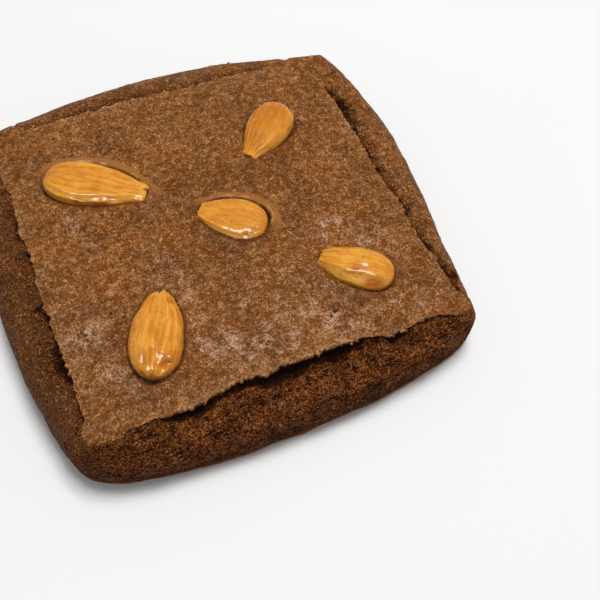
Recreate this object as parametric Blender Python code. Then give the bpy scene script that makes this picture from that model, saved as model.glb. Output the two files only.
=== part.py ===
"""A square speculaas cookie with five almonds baked into its top.

Units are metres and +Z is up. The cookie rests on z = 0 with the middle of its footprint at the
origin, its front towards -Y and its right side towards +X.
"""

import itertools
import math
from typing import NamedTuple

import bmesh
import bpy
import numpy as np
from mathutils import Matrix

# Driving dimensions.
TOP_HALF = 0.044  # from the middle of the smooth top to its torn edge
CORNER_HEIGHT = 0.0140  # the top's corners above the underside
DOME = 0.0025  # how much higher the middle of the top is than its corners
BULGE_HEIGHT = 0.0050  # where the sides reach furthest out
FULLNESS = 2.4  # superellipse exponent of the sides: 2 is round, more is squarer

# Below the widest point, down to the thin lip along the base and in to the flat underside:
# (how far in from the widest point, height).
FOOT_SECTION = ((0.0002, 0.0031), (0.0005, 0.0016), (0.0009, 0.0007), (0.0026, 0.0))

# A tear opens below the crust's broken edge, which stands a little proud.
CRUST = 0.0009  # thickness of the smooth top skin where it has torn
CRUST_LIP = 0.0002  # how far its lower edge stands out
TEAR_STEP = 0.0005  # rounding between the tear's walls and its floor
TEAR_SOFT = 0.14  # the share of a side over which a tear opens or closes

# How sharply the square's features gather at its rim and corners, as exponents.
RIM_HOLD = 8  # the rim's bow fades inwards
CORNER_HOLD = 9  # a corner's ear fades along both edges, and the outward direction turns
CORNER_ROUND_HOLD = 40  # the rounding of the side at a corner
SWELL_POWER = 2.3  # a side's swell along its length

# Mesh resolution: columns along each side, rows down it.
COLUMNS = 40
TEAR_ROWS = 5  # lip, undercut, floor, floor, shoulder
BULGE_ROWS = 5
WIDEST_ROW = TEAR_ROWS + BULGE_ROWS
ROWS = WIDEST_ROW + len(FOOT_SECTION)

# How far each corner of the top is drawn out along x, along y and up.
CORNER_EARS = {
    (-1, -1): (0.0000, 0.0000, 0.0000),
    (1, -1): (0.0008, 0.0004, 0.0000),
    (1, 1): (0.0022, 0.0003, 0.0006),
    (-1, 1): (0.0006, 0.0003, 0.0000),
}
CORNER_ROUNDING = 0.0012  # how much of a side's reach is lost right at its corners

# Each side runs along s, from -1 at its left or front end to 1 at its other end.
# ends: how far it bulges out past the top's edge at those ends; swell: how much further in its
# middle; lean: how far that middle leans to the second end;
# bow: how far the torn edge of the top bows out; tongues: (middle, half width, out) of the
# places where that edge stands out further over the bulge below; drop, gap, undercut: depth and
# width of the tear below the top, and how far it runs in under the crust;
# tears: (start, end, opening).
SIDES = {
    "front": {
        "outward": (0.0, -1.0),
        "ends": (0.0058, 0.0048),
        "swell": 0.0060,
        "lean": 0.00,
        "bow": -0.0008,
        "tongues": (
            (-0.80, 0.07, 0.0010),
            (-0.54, 0.16, 0.0017),
            (-0.13, 0.05, 0.0010),
            (0.58, 0.17, 0.0018),
        ),
        "drop": 0.0027,
        "gap": 0.0017,
        "undercut": 0.0016,
        "tears": (
            (-0.90, -0.58, 0.4),
            (-0.74, -0.23, 0.8),
            (-0.39, 0.20, 1.0),
            (0.02, 0.49, 0.95),
            (0.34, 0.80, 0.60),
            (0.62, 0.95, 0.28),
        ),
    },
    "right": {
        "outward": (1.0, 0.0),
        "ends": (0.0042, 0.0080),
        "swell": 0.0062,
        "lean": 0.65,
        "bow": -0.0008,
        "tongues": (),
        "drop": 0.0026,
        "gap": 0.0036,
        "undercut": 0.0010,
        "tears": (
            (-0.94, -0.58, 0.4),
            (-0.74, -0.34, 0.55),
            (-0.48, 0.18, 0.4),
            (0.02, 0.38, 0.7),
            (0.22, 0.78, 1.0),
            (0.60, 0.88, 0.35),
        ),
    },
    "back": {
        "outward": (0.0, 1.0),
        "ends": (0.0052, 0.0034),
        "swell": 0.0080,
        "lean": 0.12,
        "bow": 0.0004,
        "tongues": (),
        "drop": 0.0012,
        "gap": 0.0012,
        "undercut": 0.0006,
        "tears": ((-0.86, -0.06, 0.9), (-0.24, 0.48, 0.5), (0.34, 0.88, 0.35)),
    },
    "left": {
        "outward": (-1.0, 0.0),
        "ends": (0.0054, 0.0060),
        "swell": 0.0043,
        "lean": 0.00,
        "bow": 0.0006,
        "tongues": (),
        "drop": 0.0011,
        "gap": 0.0010,
        "undercut": 0.0007,
        "tears": ((-0.94, -0.60, 0.5), (-0.75, -0.33, 0.9), (-0.50, 0.22, 0.5), (0.08, 0.86, 0.4)),
    },
}


class Almond(NamedTuple):
    """An almond lying on the top. turn is the way its tip points, in degrees from +X; dip lowers
    the tip and roll tips it sideways, in degrees; stand lifts it off the half-sunk level. taper
    is 0 for an oval and 1 for a long point; flatness is 1 for a round upper face, less for a
    flat one with a sharper rim."""

    x: float
    y: float
    length: float
    width: float
    thickness: float
    turn: float
    dip: float
    roll: float
    stand: float
    taper: float
    flatness: float


ALMONDS = {
    "almond_back_left": Almond(
        -0.0246, 0.0180, 0.0250, 0.0126, 0.0072, -30, 3, -4, 0.0002, taper=0.48, flatness=0.62
    ),
    "almond_back_right": Almond(
        0.0209, 0.0201, 0.0192, 0.0116, 0.0070, -140, 6, 4, 0.0006, taper=0.75, flatness=0.90
    ),
    "almond_centre": Almond(
        0.0025, -0.0033, 0.0172, 0.0116, 0.0060, 141, 0, -6, -0.0006, taper=0.45, flatness=0.50
    ),
    "almond_front_right": Almond(
        0.0243, -0.0267, 0.0179, 0.0104, 0.0068, 140, 2, 0, 0.0008, taper=0.42, flatness=0.90
    ),
    "almond_front_left": Almond(
        -0.0242, -0.0267, 0.0221, 0.0118, 0.0072, 67, 3, 2, 0.0008, taper=0.26, flatness=0.85
    ),
}
ALMOND_OVAL = 2.25  # superellipse exponent of an almond's outline: more is squarer
ALMOND_AROUND = 20
ALMOND_ALONG = 14
HOLLOW_GAP = 0.00035  # between an almond and the dough round it

# The dough rises round an almond: how high, and where and how broadly, in almond half-sizes.
SWELLING_HEIGHT = 0.0006
SWELLING_AT = 1.1
SWELLING_SPREAD = 0.35

# Uneven baking, each as (height, size across, seed): soft lumps on the top, coarse and fine
# lumps on the sides, and the ragged edge of the tear.
TOP_LUMP = (0.00028, 0.014, 11)
SIDE_LUMP = (0.00032, 0.0085, 23)
SIDE_CRAG = (0.00024, 0.0042, 29)
EDGE_RAGGED = (0.00055, 0.0060, 1)
UNDERSIDE_ROUGH = 0.35  # the share of the sides' lumps left at the underside's edge

COOKIE_BROWN = (0.235, 0.095, 0.031, 1.0)
ALMOND_GOLD = (0.70, 0.29, 0.055, 1.0)


def clear_scene():
    for thing in list(bpy.data.objects):
        bpy.data.objects.remove(thing, do_unlink=True)


def lumps(points, height, size, seed):
    """A smooth random field from -height to height whose lumps are about size across: values
    hashed on a cubic lattice, blended between its corners."""
    scaled = points / size
    cell = np.floor(scaled).astype(np.int64)
    share = scaled - cell
    share = share * share * (3.0 - 2.0 * share)
    total = np.zeros(len(points))
    for corner in itertools.product((0, 1), repeat=3):
        at = cell + np.array(corner)
        mixed = at[:, 0] * 73856093 ^ at[:, 1] * 19349663 ^ at[:, 2] * 83492791 ^ seed * 6542989
        mixed = ((mixed ^ (mixed >> 13)) * 1274126177) & 0xFFFFFFFF
        value = ((mixed ^ (mixed >> 16)) & 0xFFFF) / 32767.5 - 1.0
        total += value * np.prod(np.where(np.array(corner) == 1, share, 1.0 - share), axis=1)
    return height * total


def smoothstep(value):
    value = np.clip(value, 0.0, 1.0)
    return value * value * (3.0 - 2.0 * value)


def edge_waver(side, s):
    """How far the torn edge stands out from its long bow: its tongues and a ragged line."""
    out_x, out_y = side["outward"]
    along = np.stack([s * TOP_HALF, 0.0 * s + out_x, 0.0 * s + out_y], axis=1)
    out = lumps(along, *EDGE_RAGGED)
    for place, half_width, reach in side["tongues"]:
        out += reach * np.exp(-(((s - place) / half_width) ** 2))
    return out


def side_reach(side, s):
    """How far the side bulges past the top's edge: from one corner's reach to the other's, with
    a swell in between that leans to one end. The edge's tongues and its ragged line leave the
    bulge in place."""
    first, second = side["ends"]
    level = first + (second - first) * (s + 1.0) / 2.0
    level -= CORNER_ROUNDING * np.abs(s) ** CORNER_ROUND_HOLD
    level -= (1.0 - s**RIM_HOLD) * edge_waver(side, s)
    return level + side["swell"] * (1.0 - np.abs(s) ** SWELL_POWER) * (1.0 + side["lean"] * s)


def tear_opening(side, s):
    """How open the tear is along the side, from 0 where the crust still holds to 1."""
    opening = np.zeros_like(s)
    for start, end, most in side["tears"]:
        window = smoothstep((s - start) / TEAR_SOFT) * smoothstep((end - s) / TEAR_SOFT)
        opening = np.maximum(opening, most * window)
    return opening


def edge_bow(side, s):
    """How far the torn edge stands out from a straight line."""
    return (1.0 - s**RIM_HOLD) * (side["bow"] * (1.0 - s * s) + edge_waver(side, s))


def almond_swelling(x, y):
    """The height of the soft ring of dough round each almond, over the top's plane."""
    rise = np.zeros_like(x)
    for almond in ALMONDS.values():
        turn = math.radians(almond.turn)
        along = (x - almond.x) * math.cos(turn) + (y - almond.y) * math.sin(turn)
        across = (y - almond.y) * math.cos(turn) - (x - almond.x) * math.sin(turn)
        away = np.hypot(along / (almond.length / 2), across / (almond.width / 2))
        rise += SWELLING_HEIGHT * np.exp(-(((away - SWELLING_AT) / SWELLING_SPREAD) ** 2))
    return rise


def top_points(u, v):
    """The smooth top over u and v from -1 to 1: a square with bowed, ragged edges and
    drawn-out ears at its corners, domed, with soft lumps and a swelling round each almond."""
    x, y = TOP_HALF * u, TOP_HALF * v
    for side in SIDES.values():
        out_x, out_y = side["outward"]
        near = np.maximum(0.0, u * out_x + v * out_y) ** RIM_HOLD
        bow = near * edge_bow(side, u * abs(out_y) + v * abs(out_x))
        x, y = x + bow * out_x, y + bow * out_y
    height = CORNER_HEIGHT + DOME * (1.0 - (u * u + v * v) / 2.0)
    for (sign_x, sign_y), (ear_x, ear_y, ear_up) in CORNER_EARS.items():
        near = (np.maximum(0.0, sign_x * u) * np.maximum(0.0, sign_y * v)) ** CORNER_HOLD
        x, y = x + sign_x * ear_x * near, y + sign_y * ear_y * near
        height = height + ear_up * near
    height = height + lumps(np.stack([x, y, 0.0 * x], axis=1), *TOP_LUMP)
    return np.stack([x, y, height + almond_swelling(x, y)], axis=1)


def outward_of(u, v):
    """The level direction that faces out of the square's rim, turning smoothly at a corner."""
    rim = np.stack([u, v], axis=1)
    out = np.sign(rim) * np.abs(rim) ** CORNER_HOLD
    return out / np.linalg.norm(out, axis=1, keepdims=True)


def bulge(start, reach, top, step, steps):
    """(offset, height) on a quarter superellipse from (start, top) down to the widest point, at
    (reach, BULGE_HEIGHT), after a number of equal steps of its angle."""
    angle = (math.pi / 2) * step / steps
    power = 2.0 / FULLNESS
    offset = start + (reach - start) * math.sin(angle) ** power
    return offset, BULGE_HEIGHT + (top - BULGE_HEIGHT) * max(0.0, math.cos(angle)) ** power


def torn_section(side, reach, edge, row):
    """(offset, height) of a torn side: the crust's broken edge, the undercut below it, the
    floor of the tear, then a lower shoulder that swells out to the widest point."""
    gap, drop, undercut = side["gap"], side["drop"], side["undercut"]
    if row > TEAR_ROWS:
        return bulge(gap, reach, edge - drop, row - TEAR_ROWS, BULGE_ROWS)
    offset, fall = (
        (CRUST_LIP, CRUST),
        (-undercut, CRUST + TEAR_STEP),
        (-undercut / 2, drop + TEAR_STEP),
        (gap / 2, drop + TEAR_STEP),
        (gap, drop),
    )[row - 1]
    return offset, edge - fall


def side_points(u, v, row):
    """The side at a row below the top's rim, for rim points (u, v) of the square. Each side
    pushes its own half outwards, so a corner takes its x from one side and its y from the
    other."""
    rim = top_points(u, v)
    out = outward_of(u, v)
    offset, height = np.zeros((len(u), 2)), np.zeros(len(u))
    for side in SIDES.values():
        out_x, out_y = side["outward"]
        facing = u * out_x + v * out_y
        near, axis = facing > 0.0, 0 if out_x else 1
        s = (u * abs(out_y) + v * abs(out_x))[near]
        reach, edge = side_reach(side, s), rim[near, 2]
        if row <= WIDEST_ROW:
            opening = tear_opening(side, s)
            whole = bulge(0.0, reach, edge, row, WIDEST_ROW)
            torn = torn_section(side, reach, edge, row)
            out_by, up_by = (a + opening * (b - a) for a, b in zip(whole, torn))
        else:
            inset, up_by = FOOT_SECTION[row - WIDEST_ROW - 1]
            out_by = reach - inset
        offset[near, axis] = out_by
        on_side = facing > 1.0 - 1e-6
        height[on_side] = np.broadcast_to(up_by, s.shape)[on_side[near]]
    spot = np.column_stack([rim[:, :2] + out * offset, height])
    rough = min(1.0, row / (TEAR_ROWS + 1)) if row < ROWS else UNDERSIDE_ROUGH
    swell = rough * (lumps(spot, *SIDE_LUMP) + lumps(spot, *SIDE_CRAG))
    spot[:, :2] += out * swell[:, None]
    return spot


def footprint_middle(points):
    low, high = points[:, :2].min(axis=0), points[:, :2].max(axis=0)
    return (low + high) / 2.0


def build_cookie(collection, material):
    """A cube whose faces are cut into a grid; every grid point then moves to the cookie's form,
    and the flat underside becomes one fan of long triangles."""
    form = bmesh.new()
    bmesh.ops.create_cube(form, size=2.0)
    upright = [e for e in form.edges if abs(e.verts[0].co.z - e.verts[1].co.z) > 1.0]
    level = [e for e in form.edges if e not in upright]
    bmesh.ops.subdivide_edges(form, edges=level, cuts=COLUMNS - 1, use_grid_fill=True)
    upright = [e for e in form.edges if abs(e.verts[0].co.z - e.verts[1].co.z) > 1.0]
    bmesh.ops.subdivide_edges(form, edges=upright, cuts=ROWS - 1, use_grid_fill=True)

    cube = np.array([vert.co for vert in form.verts])
    rows = np.rint((1.0 - cube[:, 2]) / 2.0 * ROWS).astype(int)
    inside = np.abs(cube[:, :2]).max(axis=1) < 1.0 - 1e-6
    placed = np.zeros_like(cube)
    top = rows == 0
    placed[top] = top_points(cube[top, 0], cube[top, 1])
    for row in range(1, ROWS + 1):
        ring = (rows == row) & ~inside
        placed[ring] = side_points(cube[ring, 0], cube[ring, 1], row)
    under = inside & (rows == ROWS)
    placed[under, :2] = cube[under, :2] * TOP_HALF
    middle = footprint_middle(placed)
    placed[:, :2] -= middle
    for vert, spot in zip(form.verts, placed):
        vert.co = spot

    below = [f for f in form.faces if all(v.co.z < 1e-7 for v in f.verts)]
    underside = bmesh.ops.dissolve_faces(form, faces=below, use_verts=True)["region"]
    bmesh.ops.poke(form, faces=underside)
    bmesh.ops.recalc_face_normals(form, faces=form.faces)
    mesh = bpy.data.meshes.new("cookie")
    form.to_mesh(mesh)
    form.free()
    mesh.shade_smooth()
    mesh.set_sharp_from_angle(angle=math.radians(40))
    mesh.materials.append(material)
    cookie = bpy.data.objects.new("cookie", mesh)
    collection.objects.link(cookie)
    return cookie, middle


def almond_mesh(name, almond, grow=0.0):
    """A sphere drawn out along X to an almond: an oval outline that narrows to a tip at +X, and
    sections that are wider than thick. grow moves its skin outwards."""
    form = bmesh.new()
    bmesh.ops.create_uvsphere(form, u_segments=ALMOND_AROUND, v_segments=ALMOND_ALONG, radius=1.0)
    bmesh.ops.rotate(form, verts=form.verts, matrix=Matrix.Rotation(math.radians(90), 3, "Y"))

    def half_width(along):
        oval = (1.0 - abs(along) ** ALMOND_OVAL) ** (1.0 / ALMOND_OVAL)
        return oval * ((1.0 - along) / 2.0) ** (almond.taper / 2.0)

    most = max(half_width(step / 50.0) for step in range(-49, 50))
    for vert in form.verts:
        along = max(-1.0, min(1.0, vert.co.x))
        ring = math.hypot(vert.co.y, vert.co.z)
        if ring < 1e-6:
            vert.co = (along * almond.length / 2, 0.0, 0.0)
            continue
        wide = half_width(along) / most
        across, upward = vert.co.y / ring, vert.co.z / ring
        corner = almond.flatness if upward > 0 else 1.0
        vert.co = (
            along * almond.length / 2,
            math.copysign(abs(across) ** corner, across) * wide * almond.width / 2,
            math.copysign(abs(upward) ** corner, upward) * wide**0.8 * almond.thickness / 2,
        )
    form.normal_update()
    for vert in form.verts:
        vert.co += vert.normal * grow
    mesh = bpy.data.meshes.new(name)
    form.to_mesh(mesh)
    form.free()
    mesh.shade_smooth()
    return mesh


def place_almond(thing, almond, middle):
    """Sets an almond on the top, sunk to about half its thickness."""
    spot = top_points(np.array([almond.x / TOP_HALF]), np.array([almond.y / TOP_HALF]))[0]
    thing.location = (almond.x - middle[0], almond.y - middle[1], spot[2] + almond.stand)
    turns = (almond.roll, almond.dip, almond.turn)
    thing.rotation_euler = [math.radians(turn) for turn in turns]


def build_almonds(collection, hollows, material, middle):
    """Each almond and the slightly larger cutter that leaves its hollow in the dough."""
    for name, almond in ALMONDS.items():
        mesh = almond_mesh(name, almond)
        mesh.materials.append(material)
        nut = bpy.data.objects.new(name, mesh)
        collection.objects.link(nut)
        place_almond(nut, almond, middle)

        hollow = bpy.data.objects.new("hollow_" + name, almond_mesh(name, almond, HOLLOW_GAP))
        hollows.objects.link(hollow)
        place_almond(hollow, almond, middle)
        hollow.hide_render = True
        hollow.display_type = "WIRE"


def make_material(name, colour, roughness):
    material = bpy.data.materials.new(name)
    material.use_nodes = True
    shader = material.node_tree.nodes["Principled BSDF"]
    shader.inputs["Base Color"].default_value = colour
    shader.inputs["Roughness"].default_value = roughness
    shader.inputs["Metallic"].default_value = 0.0
    return material


def main():
    clear_scene()
    collection = bpy.data.collections.new("speculaas_cookie")
    hollows = bpy.data.collections.new("almond_hollows")
    for made in (collection, hollows):
        bpy.context.scene.collection.children.link(made)
    cookie, middle = build_cookie(collection, make_material("baked_dough", COOKIE_BROWN, 0.6))
    build_almonds(collection, hollows, make_material("almond", ALMOND_GOLD, 0.3), middle)
    cut = cookie.modifiers.new("almond hollows", "BOOLEAN")
    cut.operation = "DIFFERENCE"
    cut.operand_type = "COLLECTION"
    cut.collection = hollows
    cut.solver = "EXACT"


main()
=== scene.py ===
"""A square speculaas cookie with five almonds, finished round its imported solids.

Units are metres and +Z is up. The solids give the place and the size; this script adds the
satin crust with its glaze, the torn rim, the crumbly sides, the nuts' skin and loose crumbs.
"""

import functools
import itertools
import math
from typing import NamedTuple

import bmesh
import bpy
import numpy as np
from bpy.props import FloatProperty, FloatVectorProperty, IntProperty, PointerProperty
from mathutils import Matrix, Vector


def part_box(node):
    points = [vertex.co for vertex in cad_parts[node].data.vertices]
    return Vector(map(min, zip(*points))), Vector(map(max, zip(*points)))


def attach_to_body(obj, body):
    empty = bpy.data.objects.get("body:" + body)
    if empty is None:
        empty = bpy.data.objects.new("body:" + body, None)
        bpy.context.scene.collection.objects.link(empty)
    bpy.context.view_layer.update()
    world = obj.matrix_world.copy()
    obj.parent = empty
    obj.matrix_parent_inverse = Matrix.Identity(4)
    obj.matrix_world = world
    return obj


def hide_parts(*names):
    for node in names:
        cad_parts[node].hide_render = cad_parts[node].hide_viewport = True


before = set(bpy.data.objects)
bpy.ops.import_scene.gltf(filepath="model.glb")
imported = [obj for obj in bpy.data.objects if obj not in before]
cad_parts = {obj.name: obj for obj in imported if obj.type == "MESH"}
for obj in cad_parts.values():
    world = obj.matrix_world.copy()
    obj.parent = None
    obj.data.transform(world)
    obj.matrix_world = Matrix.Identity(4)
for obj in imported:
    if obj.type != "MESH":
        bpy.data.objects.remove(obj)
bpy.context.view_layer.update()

bl_info = {
    "name": "Speculaas cookie",
    "version": (1, 0, 0),
    "blender": (4, 5, 0),
    "location": "View3D > Sidebar > Speculaas",
    "description": "Builds a thick square speculaas cookie with almonds baked into its top",
    "category": "Add Mesh",
}

ROOT_BODY = "root"
COOKIE_NODE = "cookie"

# How sharply the square's features gather at its rim and corners, as exponents.
RIM_HOLD = 8  # the rim's bow fades inwards
TEETH_HOLD = 60  # the broken edge's teeth fade inwards
CURL_HOLD = 36  # so does the curl along the broken edge
CORNER_HOLD = 9  # a corner's ear fades along both edges, and the outward direction turns
CORNER_ROUND_HOLD = 40  # the rounding of the side at a corner
SWELL_POWER = 2.3  # a side's swell along its length

# Places down a side's section, from 0 at the top's rim.
SEAM_AT = 2.0  # the crust ends here, at the back of the undercut, and the crumb starts
TEAR_AT = 5.0  # the tear's walls end
WIDEST_AT = 10.0  # the side reaches furthest out
UNDER_AT = 14.0  # the flat underside starts
TEAR_STEPS = 30
BULGE_STEPS = 44
FOOT_STEPS = 18
SEAM_ROW = round(SEAM_AT / TEAR_AT * TEAR_STEPS)

# Below the widest point, down to the thin lip along the base and in to the flat underside:
# (how far in from the widest point, height).
FOOT_SECTION = (
    (0.0, 0.0050),
    (0.0002, 0.0031),
    (0.0005, 0.0016),
    (0.0009, 0.0007),
    (0.0026, 0.0),
)
BASE_LIP = 0.00055  # how far the thin lip along the base stands out
BASE_LIP_AT = (0.0007, 0.0004)  # its height above the underside, and how tall it is
BASE_LIP_UNEVEN = (0.45, 0.0040, 99)  # as (share, size across, seed)
TEAR_STEP = 0.0005  # rounding between the tear's walls and its floor
TEAR_SOFT = 0.14  # the share of a side over which a tear opens or closes
RIM_FADES = 1.6  # the places below a tear over which its uneven rim fades out
TORN_FULLY = 0.20  # the opening from which a side has a torn section
LIT_TEAR_FLOOR = 0.62  # how much paler a tear's floor is painted, as if lit, where the side below it has its crust
SKIN_FULLY = 0.80  # the opening from which the crust's broken edge has its whole thickness

# How far a corner of the top, by the signs of its x and y, is drawn out along x, along y and up.
CORNER_EARS = {
    (1, -1): (0.0008, 0.0004, 0.0000),
    (1, 1): (0.0022, 0.0003, 0.0006),
    (-1, 1): (0.0006, 0.0003, 0.0000),
}
CORNER_ROUNDING = 0.0012  # how far a side draws in at its very corners


class Side(NamedTuple):
    """One side, along s from -1 at its left or front end to 1 at its other end.

    ends: how far it bulges past the top's edge at those ends; swell: how much further in its
    middle; lean: how far that middle leans to the second end; bow: how far the torn edge of the
    top bows out; tongues: (middle, half width, out) of the places where that edge stands out
    further over the bulge below; drop, gap, undercut: depth and width of the tear below the top,
    and how far it runs in under the crust; tears: (start, end, opening); holes: (middle, half
    width, depth, widening) of the places where the tear runs deeper into the dough; crumbly: how
    much of the side below the tear is crumb, and not brown skin; dark: how strong the painted
    shade on the tear's walls is away from its holes.
    """

    outward: tuple
    ends: tuple
    swell: float
    lean: float
    bow: float
    tongues: tuple
    drop: float
    gap: float
    undercut: float
    tears: tuple
    holes: tuple
    crumbly: float
    dark: float


SIDES = (
    Side(
        outward=(0.0, -1.0), ends=(0.0058, 0.0048), swell=0.0060, lean=0.00, bow=-0.0008,
        tongues=(
            (-0.80, 0.07, 0.0010), (-0.54, 0.16, 0.0017), (-0.13, 0.05, 0.0010),
            (0.58, 0.17, 0.0018),
        ),
        drop=0.0027, gap=0.0017, undercut=0.0016,
        tears=(
            (-0.90, -0.58, 0.4), (-0.74, -0.23, 0.8), (-0.39, 0.20, 1.0), (0.02, 0.49, 0.95),
            (0.34, 0.80, 0.60), (0.62, 0.95, 0.28),
        ),
        holes=(
            (-0.50, 0.05, 0.0005, 0.0003), (-0.07, 0.04, 0.0004, 0.0006),
            (0.02, 0.04, 0.0006, 0.0012), (0.12, 0.04, 0.0000, -0.0006),
            (0.26, 0.06, 0.0008, 0.0010), (0.56, 0.035, 0.0010, 0.0010),
        ),
        crumbly=1.0, dark=0.52,
    ),
    Side(
        outward=(1.0, 0.0), ends=(0.0042, 0.0080), swell=0.0062, lean=0.65, bow=-0.0008,
        tongues=(), drop=0.0026, gap=0.0036, undercut=0.0010,
        tears=(
            (-0.94, -0.58, 0.4), (-0.74, -0.34, 0.55), (-0.48, 0.18, 0.4), (0.02, 0.38, 0.7),
            (0.22, 0.78, 1.0), (0.60, 0.88, 0.35),
        ),
        holes=(
            (0.62, 0.06, 0.0016, 0.0006), (0.36, 0.03, 0.0004, -0.0008),
            (0.17, 0.05, 0.0018, 0.0006), (0.03, 0.03, 0.0012, 0.0004),
            (-0.24, 0.03, 0.0010, 0.0004), (-0.57, 0.04, 0.0016, 0.0006),
            (-0.76, 0.03, 0.0012, 0.0004),
        ),
        crumbly=0.22, dark=0.18,
    ),
    Side(
        outward=(0.0, 1.0), ends=(0.0052, 0.0034), swell=0.0080, lean=0.12, bow=0.0004,
        tongues=(), drop=0.0012, gap=0.0012, undercut=0.0006,
        tears=((-0.86, -0.06, 0.9), (-0.24, 0.48, 0.5), (0.34, 0.88, 0.35)),
        holes=((-0.45, 0.12, 0.0004, 0.0002), (0.10, 0.05, 0.0004, 0.0002)), crumbly=0.30,
        dark=0.35,
    ),
    Side(
        outward=(-1.0, 0.0), ends=(0.0054, 0.0060), swell=0.0043, lean=0.00, bow=0.0006,
        tongues=(), drop=0.0011, gap=0.0010, undercut=0.0007,
        tears=((-0.94, -0.60, 0.5), (-0.75, -0.33, 0.9), (-0.50, 0.22, 0.5), (0.08, 0.86, 0.4)),
        holes=(
            (-0.56, 0.08, 0.0006, 0.0002), (-0.90, 0.03, 0.0006, 0.0003),
            (-0.22, 0.04, 0.0008, 0.0005),
        ),
        crumbly=0.50, dark=0.50,
    ),
)


class Almond(NamedTuple):
    """An almond lying on the top. turn is the way its tip points, in degrees from +X; dip lowers
    the tip and roll tips it sideways, in degrees; stand lifts it off the half-sunk level. taper
    is 0 for an oval and 1 for a long point; flatness is 1 for a round upper face, less for a
    flat one with a sharper rim.

    face: how high its split face lies, as a share of its half thickness; face_tilt: how that
    face falls to one side; bevel: (across, height, slope) of the second face, which cuts off one
    side; near: 1 or -1 for that side, whose flesh shows pale; ridges: their height; ridge_count:
    how many cross it; crests: (across, half width, height, from, to) of the stronger ones;
    wrinkles: their height at its blunt end; blunt: the share of its tip that is broken off; tip:
    (across, half width, out) of prongs and notches; flare: how much the tip widens again; dents:
    (along, across, radius, depth); roasted: (along, across, half length, half width, strength)
    of browner patches; far: the way, in degrees from +X, in which a glazed collar stands round
    it, if one does; collar: that collar's height.
    """

    x: float
    y: float
    length: float
    width: float
    thickness: float
    turn: float
    dip: float
    roll: float
    stand: float
    taper: float
    flatness: float
    face: float = 2.0
    face_tilt: float = 0.0
    bevel: tuple = ()
    near: float = 0.0
    ridges: float = 0.00008
    ridge_count: int = 6
    crests: tuple = ()
    wrinkles: float = 0.0
    blunt: float = 0.0
    tip: tuple = ()
    flare: float = 0.0
    dents: tuple = ()
    roasted: tuple = ()
    far: float = 0.0
    collar: float = 0.0


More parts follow.
